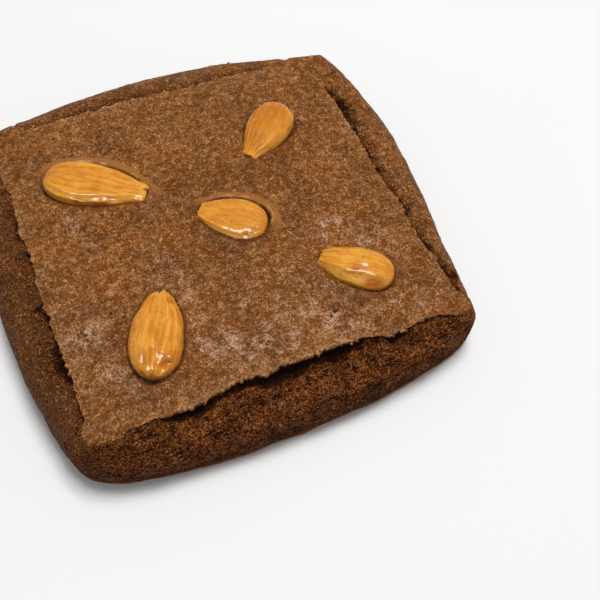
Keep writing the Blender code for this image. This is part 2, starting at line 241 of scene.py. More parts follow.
ALMONDS = {
    "almond_back_left": Almond(
        -0.0246, 0.0180, 0.0250, 0.0126, 0.0072, -30, 3, -4, 0.0002, taper=0.48, flatness=0.62,
        face=0.74, face_tilt=0.12, bevel=(0.72, 0.72, 1.5), near=-1.0, ridges=0.00008,
        crests=((-0.74, 0.07, 0.00014, -0.85, 0.80), (0.25, 0.12, 0.00006, -0.4, 0.8)),
        blunt=0.08, tip=((0.0004, 0.00035, -0.0014), (0.0013, 0.0005, 0.0004)), flare=0.22,
        dents=((0.35, 0.55, 0.0010, 0.0002), (-0.25, -0.95, 0.0006, 0.0002)),
        roasted=(
            (-0.85, 0.10, 0.35, 0.80, 0.65), (0.25, -1.00, 0.45, 0.22, 0.90),
            (-0.30, 0.30, 0.40, 0.20, 0.30), (0.10, -0.25, 0.50, 0.16, 0.30),
        ),
        far=55.0, collar=0.0006,
    ),
    "almond_back_right": Almond(
        0.0209, 0.0201, 0.0192, 0.0116, 0.0070, -140, 6, 4, 0.0006, taper=0.75, flatness=0.90,
        near=1.0, ridges=0.00009, ridge_count=6, blunt=0.10, flare=0.20, wrinkles=0.00006,
        crests=((0.72, 0.14, 0.00025, -0.2, 0.7), (-0.10, 0.14, 0.00010, -0.5, 0.9)),
        tip=((-0.0014, 0.0006, -0.0005), (0.0010, 0.0004, -0.0003)),
        roasted=((-0.60, -0.10, 0.85, 1.05, 0.95), (0.20, -0.20, 0.90, 0.90, 0.60)),
    ),
    "almond_centre": Almond(
        0.0025, -0.0033, 0.0172, 0.0116, 0.0060, 141, 0, -6, -0.0006, taper=0.45, flatness=0.50,
        face=0.74, face_tilt=-0.12, bevel=(0.54, 0.70, 1.5), near=1.0, ridges=0.00001,
        crests=((0.62, 0.06, 0.00014, -0.8, 0.9), (-0.2, 0.3, 0.00008, -0.9, 0.9)),
        blunt=0.12, tip=((-0.0012, 0.0006, -0.0006), (0.0014, 0.0006, -0.0005)), flare=0.07,
        dents=(
            (-0.74, 0.30, 0.0006, 0.0003), (-0.52, 0.62, 0.0006, 0.0005),
            (-0.66, 0.58, 0.0004, 0.0004), (0.20, 0.90, 0.0004, 0.0002),
        ),
        roasted=((0.00, -0.10, 1.30, 1.00, 0.28), (0.10, -0.80, 0.60, 0.20, 0.40)),
        far=48.0, collar=0.0006,
    ),
    "almond_front_right": Almond(
        0.0243, -0.0267, 0.0179, 0.0104, 0.0068, 140, 2, 0, 0.0008, taper=0.42, flatness=0.90,
        bevel=(0.66, 0.74, 1.5), near=1.0, ridges=0.00003, ridge_count=4, blunt=0.15,
        crests=(
            (0.16, 0.12, 0.00030, -0.45, 0.95), (0.64, 0.08, 0.00024, -0.15, 0.95),
            (-0.45, 0.14, 0.00012, -0.50, 0.80),
        ),
        tip=((-0.0009, 0.0003, -0.0004), (0.0006, 0.0003, -0.0003)), flare=0.06,
        roasted=(
            (-0.08, 0.56, 0.20, 0.16, 1.20), (-0.52, 0.86, 0.28, 0.26, 1.10),
            (0.92, -0.30, 0.16, 0.60, 0.55),
        ),
    ),
    "almond_front_left": Almond(
        -0.0242, -0.0267, 0.0221, 0.0118, 0.0072, 67, 3, 2, 0.0008, taper=0.26, flatness=0.85,
        ridges=0.00007, ridge_count=6, wrinkles=0.00050,
        crests=((-0.05, 0.10, 0.00010, -0.30, 0.80), (0.45, 0.10, 0.00010, -0.50, 0.70)),
        tip=((0.0002, 0.0004, -0.0010), (-0.0008, 0.0005, 0.0005)), flare=0.07,
        dents=((-0.80, -0.62, 0.0009, 0.0007), (0.66, -0.62, 0.0005, 0.0002)),
        roasted=(
            (0.66, -0.62, 0.07, 0.12, 1.00), (0.02, -0.12, 0.04, 0.07, 0.90),
            (0.00, -0.60, 0.05, 0.08, 0.60), (-0.84, 0.30, 0.20, 0.45, 0.30),
            (0.10, 0.25, 0.45, 0.12, 0.30),
        ),
    ),
}

# How an almond's form varies: its outline, the height of its split face, the edge of its bevel,
# its skin, its tip, the wander of its ridges and the wrinkles at its blunt end.
OUTLINE_WARP = ((0.00022, 0.0060, 201), (0.00008, 0.0026, 202))
FACE_WARP = ((0.00018, 0.0034, 203), (0.00008, 0.0014, 204))
BEVEL_WARP = ((0.035, 0.0040, 221), (0.025, 0.0016, 222))
SKIN_WARP = ((0.00020, 0.0050, 211), (0.00009, 0.0021, 212))
TIP_WARP = ((0.00012, 0.0010, 213), (0.00006, 0.0005, 217))
RIDGE_WANDER = ((1.8, 0.0060, 205), (0.8, 0.0026, 206))
BLUNT_WRINKLES = ((1.5, 0.0020, 215), (0.6, 0.0009, 216))
ALMOND_OVAL = 2.25  # superellipse exponent of an almond's outline: more is squarer
ALMOND_END = 0.04  # keeps the outline's taper above nothing past the tip

# The dough rises round an almond: how high, and where and how broadly, in almond half-sizes.
SWELLING_HEIGHT = 0.0006
SWELLING_AT = 1.1
SWELLING_SPREAD = 0.35

# Uneven baking, each as (height, size across, seed).
TOP_LUMP = (0.00028, 0.014, 11)
SIDE_LUMP = (0.00032, 0.0085, 23)
SIDE_CRAG = (0.00024, 0.0042, 29)
EDGE_RAGGED = (0.00055, 0.0060, 1)
TOP_GRAIN = ((0.00007, 0.0042, 3), (0.00004, 0.0017, 5), (0.00003, 0.0009, 7))
EDGE_TEETH = ((0.00022, 0.0021, 31), (0.00034, 0.0010, 37), (0.00034, 0.0006, 38))
TORN_RAGGED = ((0.00050, 0.0018, 101), (0.00040, 0.0009, 102))
UNDERSIDE_ROUGH = 0.35  # how lumpy the side still is where it meets the underside

# How a tear's opening, gap and crust vary along it, and its drop and undercut.
OPENING_UNEVEN = ((0.9, 0.0042, 48), (0.8, 0.0017, 49))
GAP_UNEVEN = ((0.30, 0.0034, 41), (0.35, 0.0014, 42), (0.22, 0.0007, 47))
CRUST_UNEVEN = ((0.25, 0.0030, 45), (0.20, 0.0010, 46))
DROP_UNEVEN = (0.22, 0.0027, 43)
UNDERCUT_UNEVEN = (0.40, 0.0040, 44)
LEAST_OPEN = 0.04  # the share of its size that a closed tear's section keeps

# The crust round an almond, by how far it is beyond the almond's outline.
CREASE = (0.0001, 0.00028)  # where the crease lies, and how wide
CREASE_DEPTH = 0.00020
BED_DEPTH = 0.0012  # the dough under the almond lies this much lower
MOIST_SHADE_SPREAD = 0.0007  # the ring beside the crease, painted darker for moist dough and for contact shade
RING = (0.0009, 0.0005, 0.00012)  # the soft ring outside it: where, how wide and how high
COLLAR = (0.0017, 0.0008)  # where a glazed collar is highest, and how wide
GROOVE_DEPTH = 0.0008  # the gap between that collar and its almond
WRINKLES = (0.00009, 0.0021)  # height and size of the wrinkles where the crust is glossier and its sheen is painted

# The crumb's form: its grains, peaks that are pits and lines that are cracks, each as (height,
# size across in grains, seed).
CRUMB_GRAINS = ((0.00018, 2.4, 87), (0.00015, 1.1, 88), (0.00010, 0.55, 89))
CRUMB_PEAKS = ((0.30, 1.9, 91), (0.45, 0.9, 92), (0.30, 0.5, 93))
CRUMB_LINES = ((1.0, 3.0, 95), (0.30, 1.0, 96))
PIT_DEPTH = 0.00032
CRACK_DEPTH = 0.00020

# Loose crumbs lie on the tear's upper lip, on its lower lip and below it.
LOOSE_CRUMBS = 420
LOOSE_PLACES = ((0.1, 0.9), (4.6, 6.6), (6.0, 9.0))  # places down the section
LOOSE_SHARES = (0.40, 0.80)  # the share of the crumbs on the upper lip, and on both lips
LOOSE_RADII = (0.00012, 0.00020)  # the smallest radius, and how much larger one may be

# Patches where the crust is glossier and wrinkled, with a pale painted sheen that stands for light
# reflected off the wrinkles: (x, y, half length, half width, turn in degrees, strength).
SHINY_PATCHES = (
    (-0.0370, -0.0250, 0.0100, 0.0040, -75, 0.8),
    (-0.0165, -0.0190, 0.0100, 0.0044, -80, 0.7),
    (-0.0080, -0.0360, 0.0110, 0.0044, -15, 0.8),
    (0.0285, -0.0180, 0.0110, 0.0044, -35, 0.9),
    (0.0110, -0.0355, 0.0100, 0.0046, -35, 0.85),
    (0.0300, -0.0385, 0.0120, 0.0028, -3, 0.7),
    (0.0020, -0.0300, 0.0320, 0.0090, 0, 0.35),
    (0.0240, 0.0403, 0.0150, 0.0010, -8, 0.7),
    (-0.0310, 0.0040, 0.0080, 0.0024, -70, 0.4),
)

# Pinholes in the crust: (x, y, radius).
PINHOLES = (
    (-0.0294, -0.0194, 0.00050), (-0.0319, -0.0173, 0.00035), (-0.0382, -0.0206, 0.00055),
    (0.0135, -0.0359, 0.00045), (0.0149, -0.0352, 0.00050), (0.0309, 0.0219, 0.00045),
)
PINHOLE_DEPTH = 0.0006

# The stage: azimuth, elevation, distance and size of each light, in degrees and metres.
KEY_LIGHT = (125.0, 78.0, 1.0, 0.42)
FRONT_LIGHT = (-32.0, 68.0, 0.7, 0.32)
FLOOR_HALF = 2.0
FLOOR_LEVEL = -0.00005
SENSOR_WIDTH = 36.0  # millimetres
NEAREST_SEEN = 0.01

# Edges sharper than this, in degrees, stay sharp in the shading.
SHARP_ANGLE = 50
ALMOND_SHARP_ANGLE = 60
HIDDEN_BELOW = 0.0004  # how far the crumb's hidden upper middle lies below its seam

# What the dough's material knows about each point of it.
DOUGH_MASKS = ("gloss_and_painted_reflection", "glaze", "collar_highlight", "painted_shade", "lip", "seam", "crumb")


def setting(kind, name, description, default, **more):
    """One value of a property group, which a user may change."""
    return kind(name=name, description=description, default=default, **more)


number = functools.partial(setting, FloatProperty)
steps_of = functools.partial(setting, IntProperty)
metres = functools.partial(setting, FloatProperty, unit="LENGTH")
watts = functools.partial(setting, FloatProperty, unit="POWER")
radians = functools.partial(setting, FloatProperty, subtype="ANGLE")
tint = functools.partial(setting, FloatVectorProperty, subtype="COLOR")
point = functools.partial(setting, FloatVectorProperty, subtype="XYZ", unit="LENGTH")


class SpeculaasSizes(bpy.types.PropertyGroup):
    """The cookie's driving sizes."""

    top_half: metres("Half top", "From the middle of the smooth top to its torn edge", 0.044)
    corner_height: metres(
        "Corner height", "Height of the top's corners above the underside", 0.0140
    )
    dome: metres("Dome", "How much higher the middle of the top is than its corners", 0.0025)
    bulge_height: metres("Bulge height", "Where the sides reach furthest out", 0.0050)
    fullness: number(
        "Fullness", "Superellipse exponent of the sides: 2 is round, more is squarer", 2.4
    )
    crust: metres("Crust", "Thickness of the smooth top skin where it has torn", 0.0009)
    crust_lip: metres("Crust lip", "How far the crust's broken edge stands out", 0.0002)
    curl: metres("Curl", "How far the crust lifts along its broken edge", 0.00025)
    grain: metres("Crumb grain", "Size of the grains of the baked crumb", 0.0011)
    top_steps: steps_of("Top steps", "Points along each side of the top", 284)
    nut_along: steps_of("Nut rings", "Rings along an almond", 150)
    nut_around: steps_of("Nut columns", "Points round an almond", 128)


class SpeculaasFinish(bpy.types.PropertyGroup):
    """The colours of crust, crumb and almonds."""

    crust: tint("Crust", "The brown of the baked crust", (0.190, 0.070, 0.0175))
    crust_dark: tint(
        "Crust, dark", "The darkest brown between the crust's flecks", (0.105, 0.032, 0.0050)
    )
    crust_warm: tint("Crust, tint", "The tint of the warmer patches", (1.09, 0.98, 0.84))
    fleck: tint(
        "Flecks", "The golden flecks and crinkles all over the crust", (0.410, 0.215, 0.090)
    )
    # Painted sheen: a pale pink-grey that stands for light reflected off the crust's glossy
    # wrinkles.
    painted_sheen: tint(
        "Sugar sheen",
        "The pale skin where sugar has come to the surface",
        (0.520, 0.320, 0.200),
    )
    # Painted highlight: a pale line that stands for light caught on the edge of a glazed collar.
    collar_highlight: tint("Gleam", "The light line on a glazed collar's edge", (0.620, 0.350, 0.150))
    glaze: tint("Glazed collar", "The smooth dough round an almond", (0.360, 0.138, 0.028))
    # The crumb's browns are partly its own colour and partly painted shade: they are kept dark to
    # stand for the shade on the front side.
    crumb: tint("Crumb", "The crumb on the torn sides", (0.110, 0.0268, 0.0036))
    crumb_dark: tint("Crumb, dark", "The crumb's hollows", (0.031, 0.0058, 0.0006))
    crumb_light: tint("Crumb, light", "The lighter grains of the crumb", (0.255, 0.100, 0.0310))
    # The crease brown is partly the moist dough's own colour and partly painted contact shade
    # round the almonds; it is also the painted shade colour on the crust.
    crease: tint(
        "Creases", "The moist dark dough in creases, round an almond", (0.058, 0.0150, 0.0032)
    )
    base: tint("Base lip", "The thin lighter lip along the base", (0.360, 0.160, 0.060))
    # Painted shade: the near-black painted into pits, pinholes and tears, where shade falls.
    shade_in_hollows: tint("Pits", "The dark depth of pits and tears", (0.008, 0.002, 0.001))
    almond: tint("Almond", "The gold of a roasted almond", (0.632, 0.226, 0.0155))
    almond_pale: tint(
        "Almond, pale",
        "The pale flesh where the almond is bevelled or chipped",
        (0.840, 0.415, 0.052),
    )
    almond_brown: tint(
        "Almond, roasted", "The deeper roasted streaks along an almond", (0.480, 0.140, 0.0040)
    )


class SpeculaasStage(bpy.types.PropertyGroup):
    """Floor, lights and camera."""

    floor: tint("Floor", "Colour of the plain floor", (0.83, 0.83, 0.83))
    sky: number("Sky", "Strength of the even light", 0.34)
    key: watts("Key light", "Power of the large light behind the cookie", 8.7)
    front: watts(
        "Front light", "Power of the light in front, which makes the almonds glint", 5.2
    )
    azimuth: radians(
        "View azimuth",
        "Way the camera looks from, turned about +Z from the front",
        math.radians(-30.24),
    )
    elevation: radians(
        "View elevation", "Height of the camera over the floor, as an angle", math.radians(56.93)
    )
    roll: radians("Roll", "Turn of the camera about its line of sight", math.radians(7.29))
    distance: metres("Distance", "From the camera to the point that it looks at", 0.20455)
    look_at: point(
        "Look at", "The point on the floor in the middle of the view", (0.01243, -0.02199, 0.0)
    )
    lens: number("Lens", "Focal length in millimetres", 49.2)


def smoothstep(value):
    """0 below 0, 1 above 1, and an even S between them."""
    value = np.clip(value, 0.0, 1.0)
    return value * value * (3.0 - 2.0 * value)


def rise(value, start, width):
    """0 up to start, 1 from a width further on, and an even S between."""
    return smoothstep((value - start) / width)


def bump(value, middle, spread):
    """A bell of height 1 round a middle."""
    return np.exp(-(((value - middle) / spread) ** 2))


def scatter(cell, seed):
    """A number from 0 to 1 hashed from each lattice cell, given as three whole numbers."""
    mixed = cell[..., 0] * 73856093 ^ cell[..., 1] * 19349663 ^ cell[..., 2] * 83492791
    mixed = mixed ^ seed * 6542989
    mixed = ((mixed ^ (mixed >> 13)) * 1274126177) & 0xFFFFFFFF
    return ((mixed ^ (mixed >> 16)) & 0xFFFF) / 65535.0


def lumps(points, height, size, seed):
    """A smooth random field from -height to height whose lumps are about size across: values
    hashed on a cubic lattice, blended between the eight corners of its cells."""
    scaled = points / size
    cell = np.floor(scaled).astype(np.int64)
    share = smoothstep(scaled - cell)
    total = np.zeros(points.shape[:-1])
    for corner in itertools.product((0, 1), repeat=3):
        at = np.array(corner)
        weight = np.prod(np.where(at == 1, share, 1.0 - share), axis=-1)
        total += (2.0 * scatter(cell + at, seed) - 1.0) * weight
    return height * total


def octaves(points, levels):
    """Several fields of lumps, each (height, size, seed), added up."""
    return sum(lumps(points, *level) for level in levels)


def cells(points, size, seed):
    """Random cells about size across, one in each cube of a lattice: each point's distance to
    the nearest cell's middle, in sizes."""
    scaled = points / size
    home = np.floor(scaled).astype(np.int64)
    nearest = np.full(points.shape[:-1], np.inf)
    for step in itertools.product((-1, 0, 1), repeat=3):
        cell = home + np.array(step)
        middle = cell + np.stack([scatter(cell, seed + axis) for axis in range(3)], axis=-1)
        nearest = np.minimum(nearest, np.linalg.norm(scaled - middle, axis=-1))
    return nearest


def together(*numbers):
    """Arrays of x, y and z joined into one array of points."""
    return np.stack(np.broadcast_arrays(*numbers), axis=-1)


def surface_normals(grid):
    """Unit normals of a grid of points (rows, columns, 3) whose columns join up: the cross
    product of its slopes down the rows and along the columns."""
    along = np.roll(grid, -1, axis=1) - np.roll(grid, 1, axis=1)
    normal = np.cross(np.gradient(grid, axis=0), along)
    return normal / np.maximum(np.linalg.norm(normal, axis=-1, keepdims=True), 1e-12)


def turned(x, y, at_x, at_y, turn):
    """How far points lie from a place, along a direction and across it. turn is the direction's
    angle from +X, in degrees."""
    angle = math.radians(turn)
    x, y = x - at_x, y - at_y
    return x * math.cos(angle) + y * math.sin(angle), y * math.cos(angle) - x * math.sin(angle)


def by_side(side, u, v):
    """How far the square's points (u, v) lie along a side, and how far towards it."""
    out_x, out_y = side.outward
    return u * abs(out_y) + v * abs(out_x), u * out_x + v * out_y


def along_side(sizes, side, s):
    """A point for each place along a side, so that a field of lumps varies along it and is
    different on each side."""
    out_x, out_y = side.outward
    return together(s * sizes.top_half, out_x, out_y)


def edge_waver(sizes, side, s):
    """How far the torn edge stands out from its long bow: its tongues and a ragged line."""
    ragged = lumps(along_side(sizes, side, s), *EDGE_RAGGED)
    return sum((reach * bump(s, place, half) for place, half, reach in side.tongues), ragged)


def side_reach(sizes, side, s):
    """How far the side bulges past the top's edge: from one corner's reach to the other's, with
    a swell in between that leans to one end. The edge's tongues and its ragged line leave the
    bulge in place."""
    first, second = side.ends
    level = first + (second - first) * (s + 1.0) / 2.0
    level -= CORNER_ROUNDING * np.abs(s) ** CORNER_ROUND_HOLD
    level -= (1.0 - s**RIM_HOLD) * edge_waver(sizes, side, s)
    return level + side.swell * (1.0 - np.abs(s) ** SWELL_POWER) * (1.0 + side.lean * s)


def tear_windows(side, s):
    """How open the tears are along the side, from 0 where the crust still holds to 1, with soft
    ends."""
    opening = np.zeros_like(s)
    for start, end, most in side.tears:
        window = smoothstep((s - start) / TEAR_SOFT) * smoothstep((end - s) / TEAR_SOFT)
        opening = np.maximum(opening, most * window)
    return opening


def tear_opening(sizes, side, s):
    """How open the tear is along the side. Where it is narrow, lumps break it into short
    lengths."""
    opening = tear_windows(side, s)
    uneven = octaves(along_side(sizes, side, s), OPENING_UNEVEN)
    return np.clip(opening * (1.0 + 1.2 * (1.0 - opening) * uneven), 0.0, 1.0)


def edge_bow(sizes, side, s):
    """How far the torn edge stands out from a straight line."""
    return (1.0 - s**RIM_HOLD) * (side.bow * (1.0 - s * s) + edge_waver(sizes, side, s))


def almond_outline(almond, x, y):
    """1 on the almond's outline and less inside it: the superellipse that gives its length, with
    its width narrowed towards the tip by the root of the share that is left."""
    along, across = turned(x, y, almond.x, almond.y, almond.turn)
    along, across = along / almond.length * 2, across / almond.width * 2
    left = np.maximum((1.0 - along) / 2.0, ALMOND_END)
    across = np.abs(across / (left ** (almond.taper / 2.0) / widest_share(almond)))
    return (np.abs(along) ** ALMOND_OVAL + across**ALMOND_OVAL) ** (1.0 / ALMOND_OVAL)


def almond_swelling(x, y):
    """The height of the soft ring of dough round each almond, over the top's plane."""
    rise = np.zeros_like(x)
    for almond in ALMONDS.values():
        along, across = turned(x, y, almond.x, almond.y, almond.turn)
        away = np.hypot(along / (almond.length / 2), across / (almond.width / 2))
        rise += SWELLING_HEIGHT * bump(away, SWELLING_AT, SWELLING_SPREAD)
    return rise


def plain_top(sizes, u, v):
    """The smooth top over u and v from -1 to 1: a square with bowed, ragged edges and
    drawn-out ears at its corners, domed, with soft lumps and a swelling round each almond."""
    x, y = sizes.top_half * u, sizes.top_half * v
    for side in SIDES:
        s, facing = by_side(side, u, v)
        bow = np.maximum(0.0, facing) ** RIM_HOLD * edge_bow(sizes, side, s)
        x, y = x + bow * side.outward[0], y + bow * side.outward[1]
    height = sizes.corner_height + sizes.dome * (1.0 - (u * u + v * v) / 2.0)
    for (sign_x, sign_y), (ear_x, ear_y, ear_up) in CORNER_EARS.items():
        near = (np.maximum(0.0, sign_x * u) * np.maximum(0.0, sign_y * v)) ** CORNER_HOLD
        x, y = x + sign_x * ear_x * near, y + sign_y * ear_y * near
        height = height + ear_up * near
    height = height + lumps(together(x, y, 0.0), *TOP_LUMP)
    return together(x, y, height + almond_swelling(x, y))


def shiny_mask(points):
    """Where the crust is glossier and wrinkled and has painted sheen, from 0 to 1: an oval bell
    for each patch, broken up by lumps of 2 to 4 mm."""
    broken = 0.5 + octaves(points, ((0.5, 0.0042, 61), (0.35, 0.0019, 62)))
    total = np.zeros(points.shape[:-1])
    for x, y, half_length, half_width, turn, strength in SHINY_PATCHES:
        along, across = turned(points[..., 0], points[..., 1], x, y, turn)
        away = (along / half_length) ** 2 + (across / half_width) ** 2
        total = np.maximum(total, strength * np.exp(-away * 0.8))
    return np.clip(total * np.clip(broken * 1.5, 0.0, 1.3), 0.0, 1.0)


def crust_relief(flat):
    """The crust's fine form over its plain top, for points with their height left out.

    Returns its height and its masks from 0 to 1, by name. The height is fine grain, wrinkles where
    the crust is glossier, pinholes, a crease where the dough meets each almond and, on the far
    side of two of them, a gap and a raised collar. The masks give painted sheen, painted shade in
    the pinholes, the crease and the gap, a ring of painted contact shade and moist dough, and a
    painted highlight on the collar's edge."""
    x, y = flat[..., 0], flat[..., 1]
    masks = {name: np.zeros_like(x) for name in DOUGH_MASKS}
    masks["gloss_and_painted_reflection"] = shiny_mask(flat)

    def mark(name, strength):
        """Raises a mask to a strength where it is weaker."""
        masks[name] = np.maximum(masks[name], strength)

    height = octaves(flat, TOP_GRAIN)
    tall, size = WRINKLES
    height += tall * masks["gloss_and_painted_reflection"] * (1.0 - np.abs(lumps(flat, 2.0, size, 71)))
    for hole_x, hole_y, radius in PINHOLES:
        away = np.hypot(x - hole_x, y - hole_y) / radius + lumps(flat, 0.35, radius, 73)
        hole = np.exp(-(np.maximum(away, 0.0) ** 3))
        height -= PINHOLE_DEPTH * hole
        # Painted shade in the pinhole.
        mark("painted_shade", hole)
    for almond in ALMONDS.values():
        away = np.maximum(almond_outline(almond, x, y), 0.05)
        beyond = np.hypot(x - almond.x, y - almond.y) * (1.0 - 1.0 / away)
        beyond = beyond + lumps(flat, 0.00012, 0.0016, 75)
        crease = bump(beyond, *CREASE)
        height -= CREASE_DEPTH * crease + BED_DEPTH * smoothstep((-0.0006 - beyond) / 0.0012)
        height += RING[2] * bump(beyond, *RING[:2])
        # Painted shade in the crease.
        mark("painted_shade", 0.45 * crease)
        # A ring of painted contact shade and moist dough beside the crease.
        mark("seam", bump(beyond, CREASE[0], MOIST_SHADE_SPREAD))
        if not almond.collar:
            continue
        facing, _ = turned(x, y, almond.x, almond.y, almond.far)
        facing = smoothstep(facing / (almond.width * 0.42) + 0.15)
        uneven = 1.0 + lumps(flat, 0.25, 0.0035, 77)
        height += facing * almond.collar * uneven * bump(beyond, *COLLAR)
        groove = smoothstep((0.0003 + 0.0006 * facing**8 - beyond) / 0.0003)
        height -= facing * GROOVE_DEPTH * groove
        # Painted shade in the gap between the collar and its almond.
        mark("painted_shade", 0.8 * facing * groove)
        reach = almond.width * (0.26 + 0.06 * uneven)
        ring = rise(beyond, 0.0008, 0.0003) * smoothstep((reach - beyond) / 0.0009)
        mark("glaze", facing * ring)
        # Painted highlight along the collar's edge by the groove.
        line = bump(beyond, 0.0007 + 0.0006 * facing**8, 0.00024)
        mark("collar_highlight", facing * line * smoothstep(0.5 + lumps(flat, 1.4, 0.0016, 79)))
    return height, masks


def edge_teeth(sizes, side, s):
    """How far the teeth of the broken crust stand out along a side, where it has torn."""
    teeth = octaves(along_side(sizes, side, s), EDGE_TEETH)
    return np.minimum(1.0, 1.6 * tear_opening(sizes, side, s)) * teeth


def fine_top(sizes, u, v):
    """The top with its fine form: its points and the crust's masks by name. The broken edge gets
    its teeth and a slight curl, which fade within a few millimetres of the rim."""
    points = plain_top(sizes, u, v)
    flat = points * (1.0, 1.0, 0.0)
    height, masks = crust_relief(flat)
    for side in SIDES:
        s, facing = by_side(side, u, v)
        near = np.maximum(0.0, facing)
        opening = tear_opening(sizes, side, s)
        teeth = near**TEETH_HOLD * edge_teeth(sizes, side, s)
        points[..., :2] += teeth[..., None] * np.array(side.outward)
        height += sizes.curl * opening * near**CURL_HOLD
        # The lip marks the broken edge, which gets a painted highlight and painted sheen.
        masks["lip"] = np.maximum(masks["lip"], opening * near**CURL_HOLD)
    points[..., 2] += height
    # Painted sheen along the broken edge, as if it caught the light.
    glint = 0.6 * masks["lip"] * smoothstep(0.3 + lumps(flat, 1.2, 0.0030, 83))
    masks["gloss_and_painted_reflection"] = np.maximum(masks["gloss_and_painted_reflection"], glint)
    return points, masks


def outward_of(u, v):
    """The level direction that faces out of the square's rim, turning smoothly at a corner."""
    rim = together(u, v)
    out = np.sign(rim) * np.abs(rim) ** CORNER_HOLD
    return out / np.linalg.norm(out, axis=-1, keepdims=True)


def bulge(sizes, start, reach, top, share):
    """(offset, height) on a quarter superellipse from (start, top) down to the widest point, at
    (reach, bulge height), after a share of its angle."""
    angle = (math.pi / 2) * np.clip(share, 0.0, 1.0)
    power = 2.0 / sizes.fullness
    offset = start + (reach - start) * np.sin(angle) ** power
    low = sizes.bulge_height
    return offset, low + (top - low) * np.maximum(0.0, np.cos(angle)) ** power


def tear_form(sizes, side, s):
    """The tear's gap, drop, undercut and the crust's thickness along a side, each uneven, and
    deeper at its holes."""
    along = along_side(sizes, side, s)
    hole = sum(depth * bump(s, middle, half) for middle, half, depth, _ in side.holes)
    wider = sum(widen * bump(s, middle, half) for middle, half, _, widen in side.holes)
    gap = side.gap * (1.0 + octaves(along, GAP_UNEVEN)) + wider
    drop = side.drop * (1.0 + lumps(along, *DROP_UNEVEN)) + hole
    undercut = side.undercut * (1.0 + lumps(along, *UNDERCUT_UNEVEN)) + hole
    crust = sizes.crust * (1.0 + octaves(along, CRUST_UNEVEN))
    return gap, drop, undercut, crust


def torn_section(sizes, side, s, reach, edge, at):
    """(offset, height) of a torn side at places down its section: the crust's broken edge, the
    undercut below it, the floor of the tear, then a shoulder that swells out to the widest
    point. The shoulder starts at the tear's uneven rim, and soon follows its even form."""
    gap, drop, undercut, crust = tear_form(sizes, side, s)
    part = np.clip(tear_opening(sizes, side, s), LEAST_OPEN, 1.0)
    skin = np.maximum(smoothstep(part / SKIN_FULLY), LEAST_OPEN)
    gap, undercut = np.maximum(gap, 0.0002) * part, undercut * part
    drop = crust * skin + np.maximum(drop - crust, 0.0001) * part
    crust, lip, step = crust * skin, sizes.crust_lip * skin, TEAR_STEP * skin
    knots = np.array([0.0, 0.5, 1.0, 1.5, SEAM_AT, 3.0, 4.0, TEAR_AT])
    none, floor = 0.0 * s, drop + step
    offsets = np.stack(
        [none, lip, lip / 2, -0.35 * undercut, -undercut, -0.5 * undercut, 0.5 * gap, gap]
    )
    falls = np.stack(
        [none, 0.5 * crust, crust, crust + 0.4 * step, crust + step, floor, floor, drop]
    )
    place = np.clip(at[:, 0], 0.0, TEAR_AT)
    first = np.clip(np.searchsorted(knots, place, side="right") - 1, 0, len(knots) - 2)
    share = ((place - knots[first]) / (knots[first + 1] - knots[first]))[:, None]
    offset = offsets[first] * (1.0 - share) + offsets[first + 1] * share
    height = edge - (falls[first] * (1.0 - share) + falls[first + 1] * share)
    even = np.clip(tear_windows(side, s), LEAST_OPEN, 1.0)
    even_crust = sizes.crust * np.maximum(smoothstep(even / SKIN_FULLY), LEAST_OPEN)
    even_drop = even_crust + (side.drop - sizes.crust) * even
    fading = 1.0 - rise(at, TEAR_AT, RIM_FADES)
    start = side.gap * even + fading * (gap - side.gap * even)
    top = edge - even_drop - fading * (drop - even_drop)
    shoulder = bulge(sizes, start, reach, top, (at - TEAR_AT) / (WIDEST_AT - TEAR_AT))
    below = at > TEAR_AT
    return np.where(below, shoulder[0], offset), np.where(below, shoulder[1], height)


def side_section(sizes, side, s, edge, at):
    """(offset, height) of a side for places s along it and places at down its section. Whole
    crust gives one superellipse, a tear the torn section, blended over the tear's first part."""
    reach = side_reach(sizes, side, s)
    opening = smoothstep(tear_opening(sizes, side, s) / TORN_FULLY)
    even = smoothstep(tear_windows(side, s) / TORN_FULLY)
    opening = opening + (even - opening) * rise(at, TEAR_AT, RIM_FADES)
    whole = bulge(sizes, 0.0, reach, edge, at / WIDEST_AT)
    torn = torn_section(sizes, side, s, reach, edge, at)
    offset, height = (a + opening * (b - a) for a, b in zip(whole, torn))
    places = WIDEST_AT + np.arange(len(FOOT_SECTION))
    inset = np.interp(at, places, [inset for inset, _ in FOOT_SECTION])
    level = np.interp(at, places, [level for _, level in FOOT_SECTION])
    foot = at > WIDEST_AT
    return np.where(foot, reach - inset, offset), np.where(foot, level, height)


def section_places():
    """Places down the section, one for each row of the side's grid, as a column."""
    tear = np.linspace(0.0, TEAR_AT, TEAR_STEPS + 1)
    below = np.linspace(TEAR_AT, WIDEST_AT, BULGE_STEPS + 1)[1:]
    foot = np.linspace(WIDEST_AT, UNDER_AT, FOOT_STEPS + 1)[1:]
    return np.concatenate([tear, below, foot])[:, None]


def crumbly_share(out):
    """How much of the side is crumb where it faces the given ways: each side's own share, by how
    far it faces that way."""
    return sum(side.crumbly * np.maximum(0.0, out @ np.array(side.outward)) ** 2 for side in SIDES)


